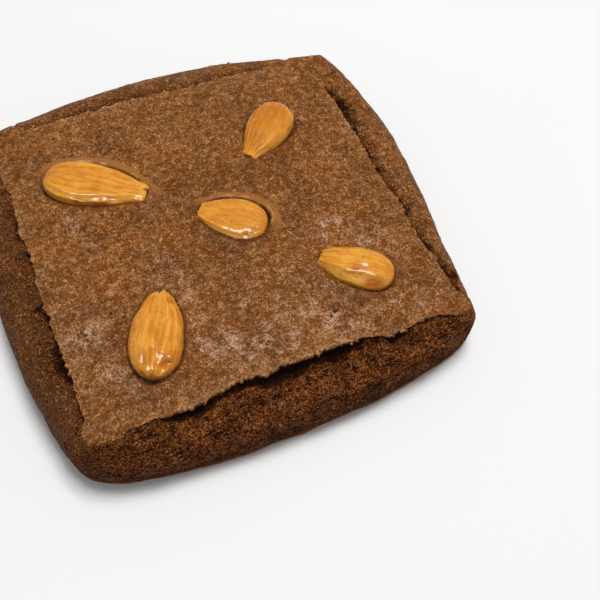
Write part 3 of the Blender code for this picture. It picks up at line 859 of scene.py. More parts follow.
def plain_side(sizes, u, v, at):
    """The side below the rim points (u, v), at places down its section. Each side pushes its own
    half outwards, so a corner takes its x from one side and its y from the other. Returns the
    points, their outward direction, the tear's opening and the strength of the painted shade on
    its walls."""
    rim = plain_top(sizes, u, v)
    out = outward_of(u, v)
    rows, columns = len(at), len(u)
    offset = np.zeros((rows, columns, 2))
    height = np.zeros((rows, columns))
    opening = np.zeros(columns)
    dark = np.zeros(columns)
    for side in SIDES:
        s, facing = by_side(side, u, v)
        near = facing > 0.0
        s = s[near]
        out_by, up_by = side_section(sizes, side, s, rim[near, 2], at)
        offset[:, near, 0 if side.outward[0] else 1] = out_by
        on_side = facing > 1.0 - 1e-6
        height[:, on_side] = up_by[:, on_side[near]]
        opening[on_side] = tear_opening(sizes, side, s)[on_side[near]]
        # Painted shade on the tear's walls, full at its holes.
        hole = sum(bump(s, middle, half) for middle, half, depth, _ in side.holes if depth > 0)
        dark[on_side] = (side.dark + (1.0 - side.dark) * np.minimum(hole, 1.0))[on_side[near]]
    spot = np.concatenate([rim[:, :2] + out * offset, height[..., None]], axis=-1)
    rough = np.minimum(1.0, at / (TEAR_AT + 1.0)) * (0.35 + 0.65 * crumbly_share(out))
    last = smoothstep(at - (UNDER_AT - 1.0))
    rough = rough + (UNDERSIDE_ROUGH - rough) * last
    rough = rough * (1.0 - 0.75 * smoothstep((at - WIDEST_AT - 0.5) / 2.0))
    swell = rough * (lumps(spot, *SIDE_LUMP) + lumps(spot, *SIDE_CRAG))
    spot[..., :2] += out * swell[..., None]
    return spot, out, opening, dark


def crumb_relief(points, grain):
    """The baked crumb's fine form and how deep its pits are, from 0 to 1: grains that stand out,
    each the round top of a random cell; ragged pits where three fields of lumps, drawn out level,
    add up to a peak; and short level cracks along the zero lines of another."""

    def in_grains(spots, levels):
        """Fields of lumps whose sizes are given in grains, added up."""
        return octaves(spots, [(height, size * grain, seed) for height, size, seed in levels])

    level = points * (1.0, 1.0, 1.5)
    relief = 0.00016 * (0.5 - cells(level, grain, 81) ** 2) + in_grains(level, CRUMB_GRAINS)
    drawn = points * (1.0, 1.0, 2.4)
    pit = smoothstep((in_grains(drawn, CRUMB_PEAKS) - 0.42) / 0.14)
    where = smoothstep(lumps(points, 1.0, 0.0040, 97) * 2.0 - 0.5)
    crack = smoothstep((0.05 - np.abs(in_grains(drawn, CRUMB_LINES))) / 0.04) * where
    relief -= PIT_DEPTH * pit + CRACK_DEPTH * crack
    return relief, np.clip(0.85 * pit + 0.8 * crack, 0.0, 1.0)


def rim_loop(steps):
    """Where the rim's points lie in the top's grid, counter-clockwise from its front left."""
    ramp = np.arange(steps - 1)
    start = np.zeros(steps - 1, int)
    end = start + steps - 1
    return (
        np.concatenate([ramp, end, end - ramp, start]),
        np.concatenate([start, ramp, end, end - ramp]),
    )


def fine_side(sizes, u, v, rim):
    """The whole side in rows from the fine rim down to the underside, with its masks. The rim's
    teeth and grain fade out behind the crust's broken edge, and the crumb's relief, along the
    surface's own normals, fades in there."""
    at = section_places()
    spot, out, opening, dark = plain_side(sizes, u, v, at)
    # The tear's bends are rounded, and the side starts at the fine rim.
    end = TEAR_STEPS + 4
    spot[2:end] = (spot[1:end - 1] + 2.0 * spot[2:end] + spot[3:end + 1]) / 4.0
    kept = 1.0 - smoothstep(at - 1.0)
    spot += (rim - spot[0])[None] * kept[..., None]
    # A tear is crumb all through. Below it, and where the crust holds, each side has its share.
    torn_here = rise(opening, TORN_FULLY, 0.15)
    torn = rise(at, 0.6, 1.2)
    whole = rise(at, 0.3, 2.2)
    crumb = whole + torn_here * (torn - whole)
    below = 1.0 - torn_here * smoothstep((TEAR_AT + 0.6 - at) / 1.2)
    crumb = crumb * (1.0 + below * (crumbly_share(out) - 1.0))
    # The relief is lower in the narrow tear and at the foot, and ragged along the tear's lip.
    relief, pits = crumb_relief(spot, sizes.grain)
    narrow = 1.0 - 0.55 * opening * smoothstep((TEAR_AT - at) / 1.0)
    foot = 1.0 - 0.85 * smoothstep((at - (UNDER_AT - 2.6)) / 1.4)
    normal = surface_normals(spot)
    sideways = smoothstep((np.abs(out[:, 0]) - 0.5) / 0.4)
    torn_lip = opening * bump(at, TEAR_AT, 1.3) * (1.0 + 1.1 * sideways)
    relief = narrow * foot * relief + torn_lip * octaves(spot, TORN_RAGGED)
    spot += normal * (crumb * relief)[..., None]
    # The thin lip along the base stands out level, and nothing is below the underside.
    uneven = 0.75 + lumps(spot, *BASE_LIP_UNEVEN)
    flange = BASE_LIP * uneven * bump(spot[..., 2], *BASE_LIP_AT)
    spot[..., :2] += out * flange[..., None]
    spot[..., 2] = np.maximum(spot[..., 2], 0.0)
    spot[-1, :, 2] = 0.0
    # The tear gets painted shade from its crust's edge to its floor, and a little past that; the
    # crumb's pits get painted shade too.
    floor = TEAR_AT + 0.1 + 0.7 * sideways
    inside = rise(at, 1.0, 0.7) * smoothstep((floor - at) / 1.6)
    inside = inside + 0.30 * smoothstep((TEAR_AT + 1.8 - at) / 2.4) * smoothstep(at - 1.5)
    open_here = rise(opening, TORN_FULLY, 0.2) * (0.6 + 0.4 * opening)
    inside = np.minimum(inside, 1.0) * open_here * dark
    painted_shade = np.clip(crumb * pits * foot + inside, 0.0, 1.0)
    # Painted light: a tear's floor is painted paler, as if lit, on the sides that keep their
    # crust.
    lit_floor = (1.0 - below) * (1.0 - crumbly_share(out)) * LIT_TEAR_FLOOR
    return spot, {"crumb": crumb * (1.0 - lit_floor), "painted_shade": painted_shade}, normal, opening


def footprint_shift(sizes):
    """Moves the cookie so that its footprint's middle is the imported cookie's."""
    ramp = np.linspace(-1.0, 1.0, 41)
    end = 0.0 * ramp + 1.0
    u = np.concatenate([ramp, ramp, -end, end])
    v = np.concatenate([-end, end, ramp, ramp])
    spot, _, _, _ = plain_side(sizes, u, v, np.arange(WIDEST_AT - 1.0, UNDER_AT + 1.0)[:, None])
    plan = spot[..., :2].reshape(-1, 2)
    middle = (plan.min(axis=0) + plan.max(axis=0)) / 2.0
    low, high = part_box(COOKIE_NODE)
    return np.array([(low.x + high.x) / 2.0 - middle[0], (low.y + high.y) / 2.0 - middle[1], 0.0])


def ring_quads(rows, columns):
    """Quads between successive rings of points whose columns join up, facing out where rings
    run down and columns run counter-clockwise."""
    row = np.arange(rows - 1)[:, None] * columns
    here = np.arange(columns)[None]
    after = (here + 1) % columns
    quads = [row + columns + here, row + columns + after, row + after, row + here]
    return np.stack(quads, axis=-1).reshape(-1, 4)


def sheet_quads(steps):
    """Quads of a square grid of points that face up where its two directions are x and y."""
    near = (np.arange(steps - 1)[:, None] * steps + np.arange(steps - 1)[None]).reshape(-1)
    return np.stack([near, near + steps, near + steps + 1, near + 1], axis=-1)


def fan(ring, centre, up):
    """Triangles that close a ring with one centre point, facing up or down."""
    after = np.roll(ring, -1)
    middle = np.full_like(ring, centre)
    return np.stack([ring, after, middle] if up else [after, ring, middle], axis=-1)


def capped(rings, above):
    """The points and both caps of a grid of rings, closed by a point in the middle of its first
    ring, which is its upper one if above, and one in the middle of its last."""
    count, columns = rings.shape[:2]
    ends = [rings[0].mean(axis=0), rings[-1].mean(axis=0)]
    points = np.concatenate([rings.reshape(-1, 3), ends])
    first = np.arange(columns)
    last = first + (count - 1) * columns
    caps = [fan(first, len(points) - 2, above), fan(last, len(points) - 1, not above)]
    return points, np.concatenate(caps)


def make_piece(name, points, quads, triangles, masks, material, sharp_angle=SHARP_ANGLE):
    """A mesh object at the origin, smooth but for edges over sharp_angle degrees, with one
    number for each point in each mask."""
    corners = np.concatenate([quads.reshape(-1), triangles.reshape(-1)]).astype(np.int32)
    counts = np.concatenate([np.full(len(quads), 4), np.full(len(triangles), 3)])
    starts = (np.cumsum(counts) - counts).astype(np.int32)
    mesh = bpy.data.meshes.new(name)
    mesh.vertices.add(len(points))
    mesh.vertices.foreach_set("co", points.astype(np.float32).reshape(-1))
    mesh.loops.add(len(corners))
    mesh.loops.foreach_set("vertex_index", corners)
    mesh.polygons.add(len(counts))
    mesh.polygons.foreach_set("loop_start", starts)
    mesh.update(calc_edges=True)
    if mesh.validate():
        raise RuntimeError(f"{name}: the mesh had faults")
    for mask, values in masks.items():
        kind, field = ("FLOAT_VECTOR", "vector") if values.ndim == 2 else ("FLOAT", "value")
        layer = mesh.attributes.new(mask, kind, "POINT")
        layer.data.foreach_set(field, values.astype(np.float32).reshape(-1))
    mesh.shade_smooth()
    mesh.set_sharp_from_angle(angle=math.radians(sharp_angle))
    mesh.materials.append(material)
    piece = bpy.data.objects.new(name, mesh)
    bpy.context.scene.collection.objects.link(piece)
    return piece


def mark_seam(piece, ring):
    """Makes the edges along a ring of points sharp, so that shading doesn't run past them."""
    mesh = piece.data
    ends = np.zeros(2 * len(mesh.edges), np.int32)
    mesh.edges.foreach_get("vertices", ends)
    sharp = np.zeros(len(mesh.edges), bool)
    mesh.edges.foreach_get("use_edge_sharp", sharp)
    sharp |= np.isin(ends.reshape(-1, 2), ring).all(axis=1)
    mesh.edges.foreach_set("use_edge_sharp", sharp)


def cookie_grids(sizes):
    """The top's grid and the side's grid, which share the rim, with their masks."""
    ramp = np.linspace(-1.0, 1.0, sizes.top_steps)
    u, v = np.meshgrid(ramp, ramp, indexing="ij")
    top, top_masks = fine_top(sizes, u, v)
    i, j = rim_loop(sizes.top_steps)
    side, side_masks, normal, opening = fine_side(sizes, u[i, j], v[i, j], top[i, j])
    fade = 1.0 - smoothstep(section_places() / SEAM_AT)
    side_masks = {**{name: fade * top_masks[name][i, j] for name in DOUGH_MASKS}, **side_masks}
    shift = footprint_shift(sizes)
    return top + shift, top_masks, side + shift, side_masks, normal, opening


def build_crust(sizes, material, top, top_masks, side, side_masks):
    """The smooth top and the broken edge of the crust, back to the seam inside the tear. A fan
    of triangles below, which the crumb hides, closes it."""
    steps = sizes.top_steps
    i, j = rim_loop(steps)
    rim = i * steps + j
    edge = slice(1, SEAM_ROW + 1)
    ring = steps * steps + np.arange(SEAM_ROW * len(rim)).reshape(SEAM_ROW, -1)
    middle = side[SEAM_ROW].mean(axis=0)
    points = np.concatenate([top.reshape(-1, 3), side[edge].reshape(-1, 3), middle[None]])
    rings = np.concatenate([rim[None], ring])
    below = rings.reshape(-1)[ring_quads(len(rings), len(rim))]
    masks = {
        name: np.concatenate([top_masks[name].ravel(), side_masks[name][edge].ravel(), [0.0]])
        for name in DOUGH_MASKS
    }
    quads = np.concatenate([sheet_quads(steps), below])
    cap = fan(ring[-1], len(points) - 1, False)
    piece = make_piece("crust", points, quads, cap, masks, material)
    mark_seam(piece, ring[-1])
    return piece


def build_crumb(material, side, side_masks):
    """The crumbly sides from the seam inside the tear down to the flat underside, closed above
    by a fan that the crust hides and below by the underside."""
    rows = side[SEAM_ROW:]
    points, caps = capped(rows, above=True)
    points[-2, 2] -= HIDDEN_BELOW
    masks = {
        name: np.concatenate([side_masks[name][SEAM_ROW:].ravel(), [0.5, 0.5]])
        for name in DOUGH_MASKS
    }
    piece = make_piece("crumb", points, ring_quads(*rows.shape[:2]), caps, masks, material)
    mark_seam(piece, np.arange(rows.shape[1]))
    return piece


def half_width(almond, along):
    """An almond's half width at places along it, before it is scaled: a superellipse times the
    root of the share that is left to the tip."""
    oval = (1.0 - np.abs(along) ** ALMOND_OVAL) ** (1.0 / ALMOND_OVAL)
    return oval * ((1.0 - along) / 2.0) ** (almond.taper / 2.0)


def widest_share(almond):
    """An almond's greatest half width, before it is scaled."""
    return half_width(almond, np.linspace(-0.98, 0.98, 99)).max()


def softer_minimum(a, b, soft):
    """The smaller of a and b, rounded where they cross."""
    return (a + b - np.sqrt((a - b) ** 2 + soft**2)) / 2.0


def split_face(almond, skin, z, lean):
    """Cuts the upper half of an almond's sections off at its split face, with rounded edges."""
    face = almond.thickness / 2 * (almond.face + almond.face_tilt * lean)
    face = face + octaves(skin, FACE_WARP)
    return softer_minimum(z, face, 0.00025)


def bevelled(almond, skin, z, spread):
    """Cuts one side off at a sloping plane with an irregular edge. Returns the new heights and
    the share of bevel, from 0 to 1."""
    start, height, slope = almond.bevel
    start = start + octaves(skin, BEVEL_WARP)
    bevel = almond.thickness / 2 * (height - slope * (almond.near * spread - start))
    bevel = bevel + lumps(skin, 0.00006, 0.0018, 223)
    return softer_minimum(z, bevel, 0.00010), smoothstep((z - bevel) / 0.0002 + 0.5)


def almond_surface(sizes, almond, seed):
    """An almond's skin in its own frame, with its tip at +X, in rings from its blunt end to its
    tip, and its masks. The sections are superellipses, cut off by a split face if it has one.
    Ridges run along it, closer together where it narrows; its tip is broken off, ragged and
    notched, and its blunt end may be wrinkled."""
    # The plain form: a superellipse along the almond and round each section.
    ends = np.pi * np.arange(1, sizes.nut_along) / sizes.nut_along
    along = -np.cos(ends)[:, None]
    angle = (2.0 * np.pi * np.arange(sizes.nut_around) / sizes.nut_around - np.pi / 2.0)[None]
    wide = half_width(almond, along) / widest_share(almond)
    wide = wide + almond.flare * bump(along, 0.93, 0.13) * (1.0 - along**30)
    across, upward = np.cos(angle), np.sin(angle)
    corner = np.where(upward > 0.0, almond.flatness, 1.0)
    longer = 1.0 + almond.blunt * smoothstep(along / 0.9)
    x = along * longer * almond.length / 2 + 0.0 * angle
    y = np.sign(across) * np.abs(across) ** corner * wide * almond.width / 2
    z = np.sign(upward) * np.abs(upward) ** corner * wide**0.8 * almond.thickness / 2
    salt = np.array([0.1, 0.2, 0.3]) * seed
    salted = together(x, y, z) + salt
    y += octaves(salted, OUTLINE_WARP)
    lean = y / (almond.width / 2)
    spread = lean / np.maximum(wide, 0.15)
    near_side = smoothstep(almond.near * spread * 1.4 + 0.1) if almond.near else 0.0 * lean
    bevel = np.zeros_like(z)
    if almond.face < 1.0:
        z = split_face(almond, salted, z, lean)
    if almond.bevel:
        z, bevel = bevelled(almond, salted, z, spread)

    # The tip is broken off at an uneven end, with prongs and notches.
    end = almond.length / 2 + lumps(salted * (0.2, 1.0, 1.0), 0.00025, 0.0011, 209)
    tip = rise(along, 0.72, 0.28)
    broken = smoothstep((x - end) / 0.0003 + 0.5) if almond.blunt else 0.0 * x
    if almond.blunt:
        x = softer_minimum(x, end, 0.00030)
    for aside, half, out in almond.tip:
        x += out * tip * bump(y, aside, half)
    x += tip * lumps(together(y, z, 0.0) + salt, 0.00028, 0.0009, 207)
    skin = together(x, y, z)

    # Ridges and crests run along it, and wrinkles gather at its blunt end.
    wander = octaves(salted, RIDGE_WANDER)
    ridge = np.cos(np.pi * almond.ridge_count * spread + wander)
    ridge = ridge * smoothstep(0.6 + lumps(salted, 0.8, 0.0045, 208))
    ridge = ridge * smoothstep((1.0 - np.abs(along)) / 0.25) * smoothstep(upward + 0.2)
    crest = np.zeros_like(x)
    for aside, half, tall, start, stop in almond.crests:
        length = smoothstep((along - start) / 0.2) * smoothstep((stop - along) / 0.2)
        crest += tall * length * bump(spread + 0.04 * wander, aside, half)
    wrinkle = 1.0 - np.abs(octaves(salted * (0.5, 1.0, 1.0), BLUNT_WRINKLES))
    wrinkle = wrinkle * smoothstep((-along - 0.05) / 0.40) * smoothstep(upward)
    # Its skin is uneven, with fine lines, dents and roasted patches.
    uneven = octaves(salted, SKIN_WARP)
    rough = octaves(salted, TIP_WARP) * tip
    lines = lumps(together(x / 0.0045, spread * 11.0, seed), 0.00002, 1.0, 214)
    dent = np.zeros_like(x)
    for place, aside, radius, depth in almond.dents:
        away = np.hypot(x - place * almond.length / 2, y - aside * almond.width / 2 * wide)
        away = away / radius + lumps(salted, 0.3, radius, 218)
        dent += depth * np.exp(-(away**2)) * (upward > -0.2)
    roast = np.zeros_like(x)
    for place, aside, half_length, half, strength in almond.roasted:
        away = np.hypot((along - place) / half_length, (spread - aside) / half)
        away = away + lumps(salted, 0.35, 0.0020, 219)
        roast = np.maximum(roast, strength * np.exp(-(np.maximum(away, 0.0) ** 2)))
    relief = uneven + rough + lines + almond.ridges * ridge + crest - dent
    relief = relief + almond.wrinkles * wrinkle
    skin += surface_normals(skin) * -relief[..., None]

    fleshy = np.maximum(0.7 * tip, 0.5 * near_side * smoothstep(np.abs(spread) * 2.0 - 0.9))
    masks = {
        "grain": together(x * 1000.0, spread * 10.0, 10.0 * seed),
        "ridge": 0.5 - 5000.0 * almond.ridges * ridge - 1500.0 * crest,
        "pale": np.clip(np.maximum(np.maximum(bevel, fleshy), broken), 0.0, 1.0),
        "roast": roast,
        "dent": np.clip(dent / 0.0005, 0.0, 1.0),
    }
    return skin, masks


def almond_matrix(sizes, almond, shift):
    """Where an almond lies: turned by roll, dip and turn, half sunk into the plain top."""
    u, v = np.array([almond.x / sizes.top_half]), np.array([almond.y / sizes.top_half])
    level = plain_top(sizes, u, v)[0, 2] + almond.stand
    place = Matrix.Translation((almond.x + shift[0], almond.y + shift[1], level))
    turned = Matrix.Rotation(math.radians(almond.turn), 4, "Z")
    dipped = Matrix.Rotation(math.radians(almond.dip), 4, "Y")
    rolled = Matrix.Rotation(math.radians(almond.roll), 4, "X")
    return np.array(place @ turned @ dipped @ rolled)


def build_almond(sizes, node, almond, seed, material):
    """One almond, closed by a pole at each end, in its place."""
    skin, masks = almond_surface(sizes, almond, seed)
    points, caps = capped(skin, above=False)
    matrix = almond_matrix(sizes, almond, footprint_shift(sizes))
    points = points @ matrix[:3, :3].T + matrix[:3, 3]
    quads = ring_quads(*skin.shape[:2])[:, ::-1]
    values = {}
    for name, mask in masks.items():
        flat = mask.reshape(quads.shape[0] + skin.shape[1], -1)
        values[name] = np.concatenate([flat, flat[:1], flat[-1:]]).squeeze()
    name = node.replace("almond", "nut")
    return make_piece(name, points, quads, caps, values, material, ALMOND_SHARP_ANGLE)


def crumb_template():
    """An icosahedron: the points and triangles of one crumb."""
    form = bmesh.new()
    bmesh.ops.create_icosphere(form, subdivisions=1, radius=1.0)
    points = np.array([vert.co for vert in form.verts])
    triangles = np.array([[vert.index for vert in face.verts] for face in form.faces])
    form.free()
    return points, triangles


def build_crumbs(material, side, normal, opening):
    """Loose crumbs that stick on the tear's lips and on the sides: copies of one template, each
    stretched, turned and dented on its own, as one array of places times points."""
    random = np.random.default_rng(7)
    at = section_places()[:, 0]
    group = np.searchsorted(LOOSE_SHARES, random.random(LOOSE_CRUMBS), side="right")
    rows = [np.searchsorted(at, random.uniform(*span, LOOSE_CRUMBS)) for span in LOOSE_PLACES]
    row = np.choose(group, rows)
    widest = normal[at.searchsorted(WIDEST_AT)]
    seen = smoothstep(-widest[:, 0] - 0.3) + smoothstep(-widest[:, 1] - 0.3)
    weight = opening * (0.12 + seen) + 0.05 * seen
    column = random.choice(len(weight), LOOSE_CRUMBS, p=weight / weight.sum())
    least, more = LOOSE_RADII
    radius = least + more * random.random(LOOSE_CRUMBS) ** 3
    stretch = random.uniform(0.6, 1.4, (LOOSE_CRUMBS, 1, 3))
    turns = np.linalg.qr(random.normal(size=(LOOSE_CRUMBS, 3, 3)))[0]
    turns *= np.sign(np.linalg.det(turns))[:, None, None]
    template, triangles = crumb_template()
    dents = 1.0 + 0.3 * random.uniform(-1.0, 1.0, (LOOSE_CRUMBS, len(template), 1))
    shapes = np.einsum("kij,kvj->kvi", turns, template[None] * dents * stretch)
    middles = side[row, column] + normal[row, column] * 0.3 * radius[:, None]
    points = (shapes * radius[:, None, None] + middles[:, None]).reshape(-1, 3)
    faces = triangles[None] + (np.arange(LOOSE_CRUMBS) * len(template))[:, None, None]
    masks = {"tone": np.repeat(random.random(LOOSE_CRUMBS), len(template))}
    quads = np.zeros((0, 4), int)
    return make_piece("crumbs", points, quads, faces.reshape(-1, 3), masks, material, 30)


class Value:
    """What a node gives out. Adding, subtracting and multiplying it adds a node for that."""

    def __init__(self, on, socket):
        self.on = on
        self.socket = socket

    def __add__(self, other):
        return self.on.maths("ADD", self, other)

    def __sub__(self, other):
        return self.on.maths("SUBTRACT", self, other)

    def __rsub__(self, other):
        return self.on.maths("SUBTRACT", other, self)

    def __mul__(self, other):
        return self.on.maths("MULTIPLY", self, other)

    def spread(self, low, high, to_low=0.0, to_high=1.0):
        """The value's range from low to high spread smoothly over another range."""
        values = enumerate((self, low, high, to_low, to_high))
        return self.on.add("MapRange", "Result", dict(values), interpolation_type="SMOOTHSTEP")


class Shading:
    """A material under construction: each method adds nodes and returns what they give out."""

    def __init__(self, name):
        self.material = bpy.data.materials.new(name)
        self.material.use_nodes = True
        self.tree = self.material.node_tree
        self.object = self.add("TexCoord", "Object")

    def put(self, socket, value):
        """Links a node's value to a socket, or sets a plain number or colour on it."""
        if isinstance(value, Value):
            self.tree.links.new(value.socket, socket)
        elif hasattr(value, "__len__") and len(value) == 3 and socket.type == "RGBA":
            socket.default_value = (*value, 1.0)
        else:
            socket.default_value = value

    def add(self, kind, output, inputs=(), **settings):
        """A new node with its settings and inputs: one of its outputs."""
        node = self.tree.nodes.new("ShaderNode" + kind)
        for name, setting in settings.items():
            setattr(node, name, setting)
        for name, value in dict(inputs).items():
            self.put(node.inputs[name], value)
        return Value(self, node.outputs[output])

    def mask(self, name, output="Fac"):
        """One of the piece's own attributes."""
        return self.add("Attribute", output, attribute_name=name)

    def maths(self, operation, first, second=0.0):
        """A maths node on one or two values."""
        return self.add("Math", "Value", {0: first, 1: second}, operation=operation)

    def noise(self, scale, detail=2.0, roughness=0.5, distortion=0.0, vector=None):
        """Noise with this many lumps to the metre, of the object's own place unless told."""
        inputs = {"Scale": scale, "Detail": detail, "Roughness": roughness}
        inputs.update({"Distortion": distortion, "Vector": vector or self.object})
        return self.add("TexNoise", "Fac", inputs)

    def crinkles(self, scale, detail, width, vector=None):
        """1 along thin curved lines, where a noise crosses its middle value, and 0 off them."""
        away = self.maths("ABSOLUTE", self.noise(scale, detail, 0.6, 1.0, vector) - 0.5)
        return away.spread(width, 0.0)

    def place(self, axis):
        """How far along an axis of the object, in metres."""
        return self.add("SeparateXYZ", axis, {"Vector": self.object})

    def stretched(self, vector, scale):
        """A place scaled along each axis: a small scale draws a pattern out."""
        return self.add("Mapping", "Vector", {"Vector": vector, "Scale": scale})

    def along_side(self, pattern, drawn, tall=1.0):
        """A pattern drawn out along the front and back sides, and across them where the left or
        right side is nearer. drawn and tall scale it along the side and upwards."""
        x, y = (self.maths("ABSOLUTE", self.place(axis)) for axis in "XY")
        scales = (drawn, 1.0, tall), (1.0, drawn, tall)
        drawn_out = (pattern(self.stretched(self.object, scale)) for scale in scales)
        return self.blend((x - y).spread(-0.006, 0.006), *drawn_out)

    def blend(self, share, first, second, way="MIX"):
        """A share of the second colour over the first."""
        inputs = {0: share, 6: first, 7: second}
        return self.add("Mix", 2, inputs, data_type="RGBA", blend_type=way)

    def layers(self, colour, *over):
        """A colour with others over it, each (share, colour)."""
        for share, layer in over:
            colour = self.blend(share, colour, layer)
        return colour

    def relief(self, height, distance, **under):
        """A normal bent by a height, given as a share of distance in metres."""
        return self.add("Bump", "Normal", {"Height": height, "Distance": distance, **under})

    def finish(self, **values):
        """Sets the shader's own sockets. Returns the material."""
        shader = self.tree.nodes["Principled BSDF"]
        for name, value in values.items():
            self.put(shader.inputs[name.replace("_", " ")], value)
        return self.material


def dough_material(finish):
    """Baked dough. The crust is brown, crinkled and flecked with gold, with a network of pale
    crinkles painted as sheen where light reflects off its glossy wrinkles, painted highlights
    along its broken edge and on the glazed collars' edge, and smooth where it is glazed. The crumb
    is a granular mixture of dark and light grains, paler upwards as painted light and darker
    towards the base as painted shade, with level rows of pits; pits, tears, pinholes and the
    creases round the almonds get painted shade, and pits and tears are darkest."""
    on = Shading("baked dough")
    gloss_and_painted_reflection, glaze, collar_highlight, painted_shade, lip, seam, crumb = (on.mask(name) for name in DOUGH_MASKS)
    height = on.place("Z")

    # The crust: flecked browns, painted sugar sheen, a painted highlight on its broken edge,
    # glaze, a painted highlight on the collars' edge, and painted contact shade with moist dough
    # in the crease round an almond.
    fine = on.noise(1700.0, 3.0, 0.62, 0.6)
    middle = on.noise(560.0, 3.0, 0.6, 0.3)
    speckle = on.noise(3000.0, 2.0, 0.6) - 0.5
    # The broken edge is painted a little lighter, as a highlight.
    tone = fine * 0.62 + middle * 0.38 + speckle * 0.50 + lip * 0.03
    crust = on.layers(
        finish.crust_dark,
        (tone.spread(0.40, 0.53), finish.crust),
        (tone.spread(0.52, 0.65), finish.fleck),
    )
    warm = on.noise(150.0, 3.0).spread(0.40, 0.66)
    crust = on.blend(warm, crust, finish.crust_warm, "MULTIPLY")
    crinkle = on.crinkles(900.0, 3.0, 0.030)
    some = on.noise(340.0, 2.0).spread(0.46, 0.64)
    crust = on.blend(crinkle * some * 0.55, crust, finish.fleck)
    mottled = on.noise(70.0, 3.0).spread(0.3, 0.7, 0.84, 1.14)
    crust = on.blend(1.0, crust, mottled, "MULTIPLY")
    # Painted sheen: pale strokes, flecks and haze where light reflects off the glossy wrinkles.
    strokes = on.along_side(lambda drawn: on.crinkles(1000.0, 4.0, 0.060, drawn), 0.30)
    crackle = on.maths("MAXIMUM", strokes * 0.85, tone.spread(0.50, 0.62) * 0.8)
    haze = on.noise(300.0, 4.0, 0.65).spread(0.36, 0.64)
    sugar = (crackle + 0.18) * haze * gloss_and_painted_reflection
    painted_reflection_share = sugar.spread(0.02, 0.85)
    smooth = on.blend(middle.spread(0.40, 0.62, 0.0, 0.35), finish.glaze, finish.crust)
    crust = on.layers(
        crust,
        (painted_reflection_share, finish.painted_sheen),
        # Painted highlight on the crust's broken edge.
        (lip * fine.spread(0.44, 0.60, 0.10, 0.78), finish.fleck),
        (glaze * 0.85, smooth),
        (painted_reflection_share, finish.painted_sheen),
        # Painted contact shade and moist dough round each almond.
        (seam * 0.62, finish.crease),
        # Painted highlight on the collars' edge.
        (collar_highlight * middle.spread(0.36, 0.56, 0.15, 0.85), finish.collar_highlight),
    )

    # The crumb: grains, paler upwards as painted light and darker towards the base as painted
    # shade, paler and darker in patches, rows of pits with painted shade and the lip at the base.
    grain = on.noise(1900.0, 3.0, 0.6)
    lump = on.noise(700.0, 3.0, 0.6)
    mixed = grain * 0.66 + lump * 0.34 + speckle * 0.80
    inner = on.layers(
        finish.crumb_dark,
        (mixed.spread(0.38, 0.51), finish.crumb),
        (mixed.spread(0.50, 0.63), finish.crumb_light),
    )
    # Painted light and shade: paler up the side, darker towards the base.
    painted_light_by_height = height.spread(0.001, 0.0115, 0.73, 1.27)
    patchy = on.noise(190.0, 3.0).spread(0.32, 0.68, 0.70, 1.28)
    for tinge in (painted_light_by_height, patchy):
        inner = on.blend(1.0, inner, tinge, "MULTIPLY")
    dash = on.along_side(lambda drawn: on.noise(1150.0, 3.0, 0.65, 0.5, drawn), 0.34, 1.8)
    rows = on.along_side(lambda drawn: on.noise(400.0, 2.0, 0.5, 0.4, drawn), 0.24, 1.7)
    # Painted shade in the rows of pits.
    pits = dash.spread(0.462, 0.424) * rows.spread(0.50, 0.56)
    base_lip = height.spread(0.0015, 0.0009, 0.0, 0.80)
    inner = on.layers(inner, (pits * 0.92, finish.shade_in_hollows), (base_lip, finish.base))

    # The crumb takes over from the crust along a ragged edge, and pits, tears, pinholes, creases
    # and grooves get painted shade.
    ragged = (grain - 0.5) * 1.6
    edge = (crumb + ragged).spread(0.30, 0.70)
    colour = on.blend(edge, crust, inner)
    dark = (painted_shade + ((lump - 0.5) * 1.8 + ragged)).spread(0.34, 0.62)
    dark = dark * painted_shade.spread(0.04, 0.16)
    # The painted shade is near-black in the crumb and the crease brown on the crust.
    depths = on.blend(mixed.spread(0.46, 0.60, 0.0, 0.6), finish.shade_in_hollows, finish.crumb)
    colour = on.blend(dark, colour, on.blend(edge, finish.crease, depths))

    # The crust is satin, smoother where it is glazed; the crumb is matt and rough.
    satin = on.noise(600.0, 3.0).spread(0.3, 0.7, 0.42, 0.62) - glaze * 0.22
    skin = tone + crinkle * 0.10 + sugar * 0.25
    smoother = 1.0 - glaze * 0.85
    normal = on.relief(skin * smoother, 0.00016)
    normal = on.relief((mixed - pits * 0.35) * edge, 0.00080, Normal=normal)
    return on.finish(
        Base_Color=colour,
        Roughness=satin + edge * 0.42,
        Normal=normal,
        Specular_IOR_Level=0.06,
        Coat_Weight=on.maths("MAXIMUM", gloss_and_painted_reflection * 0.12, glaze * 0.2),
        Coat_Roughness=0.25,
    )


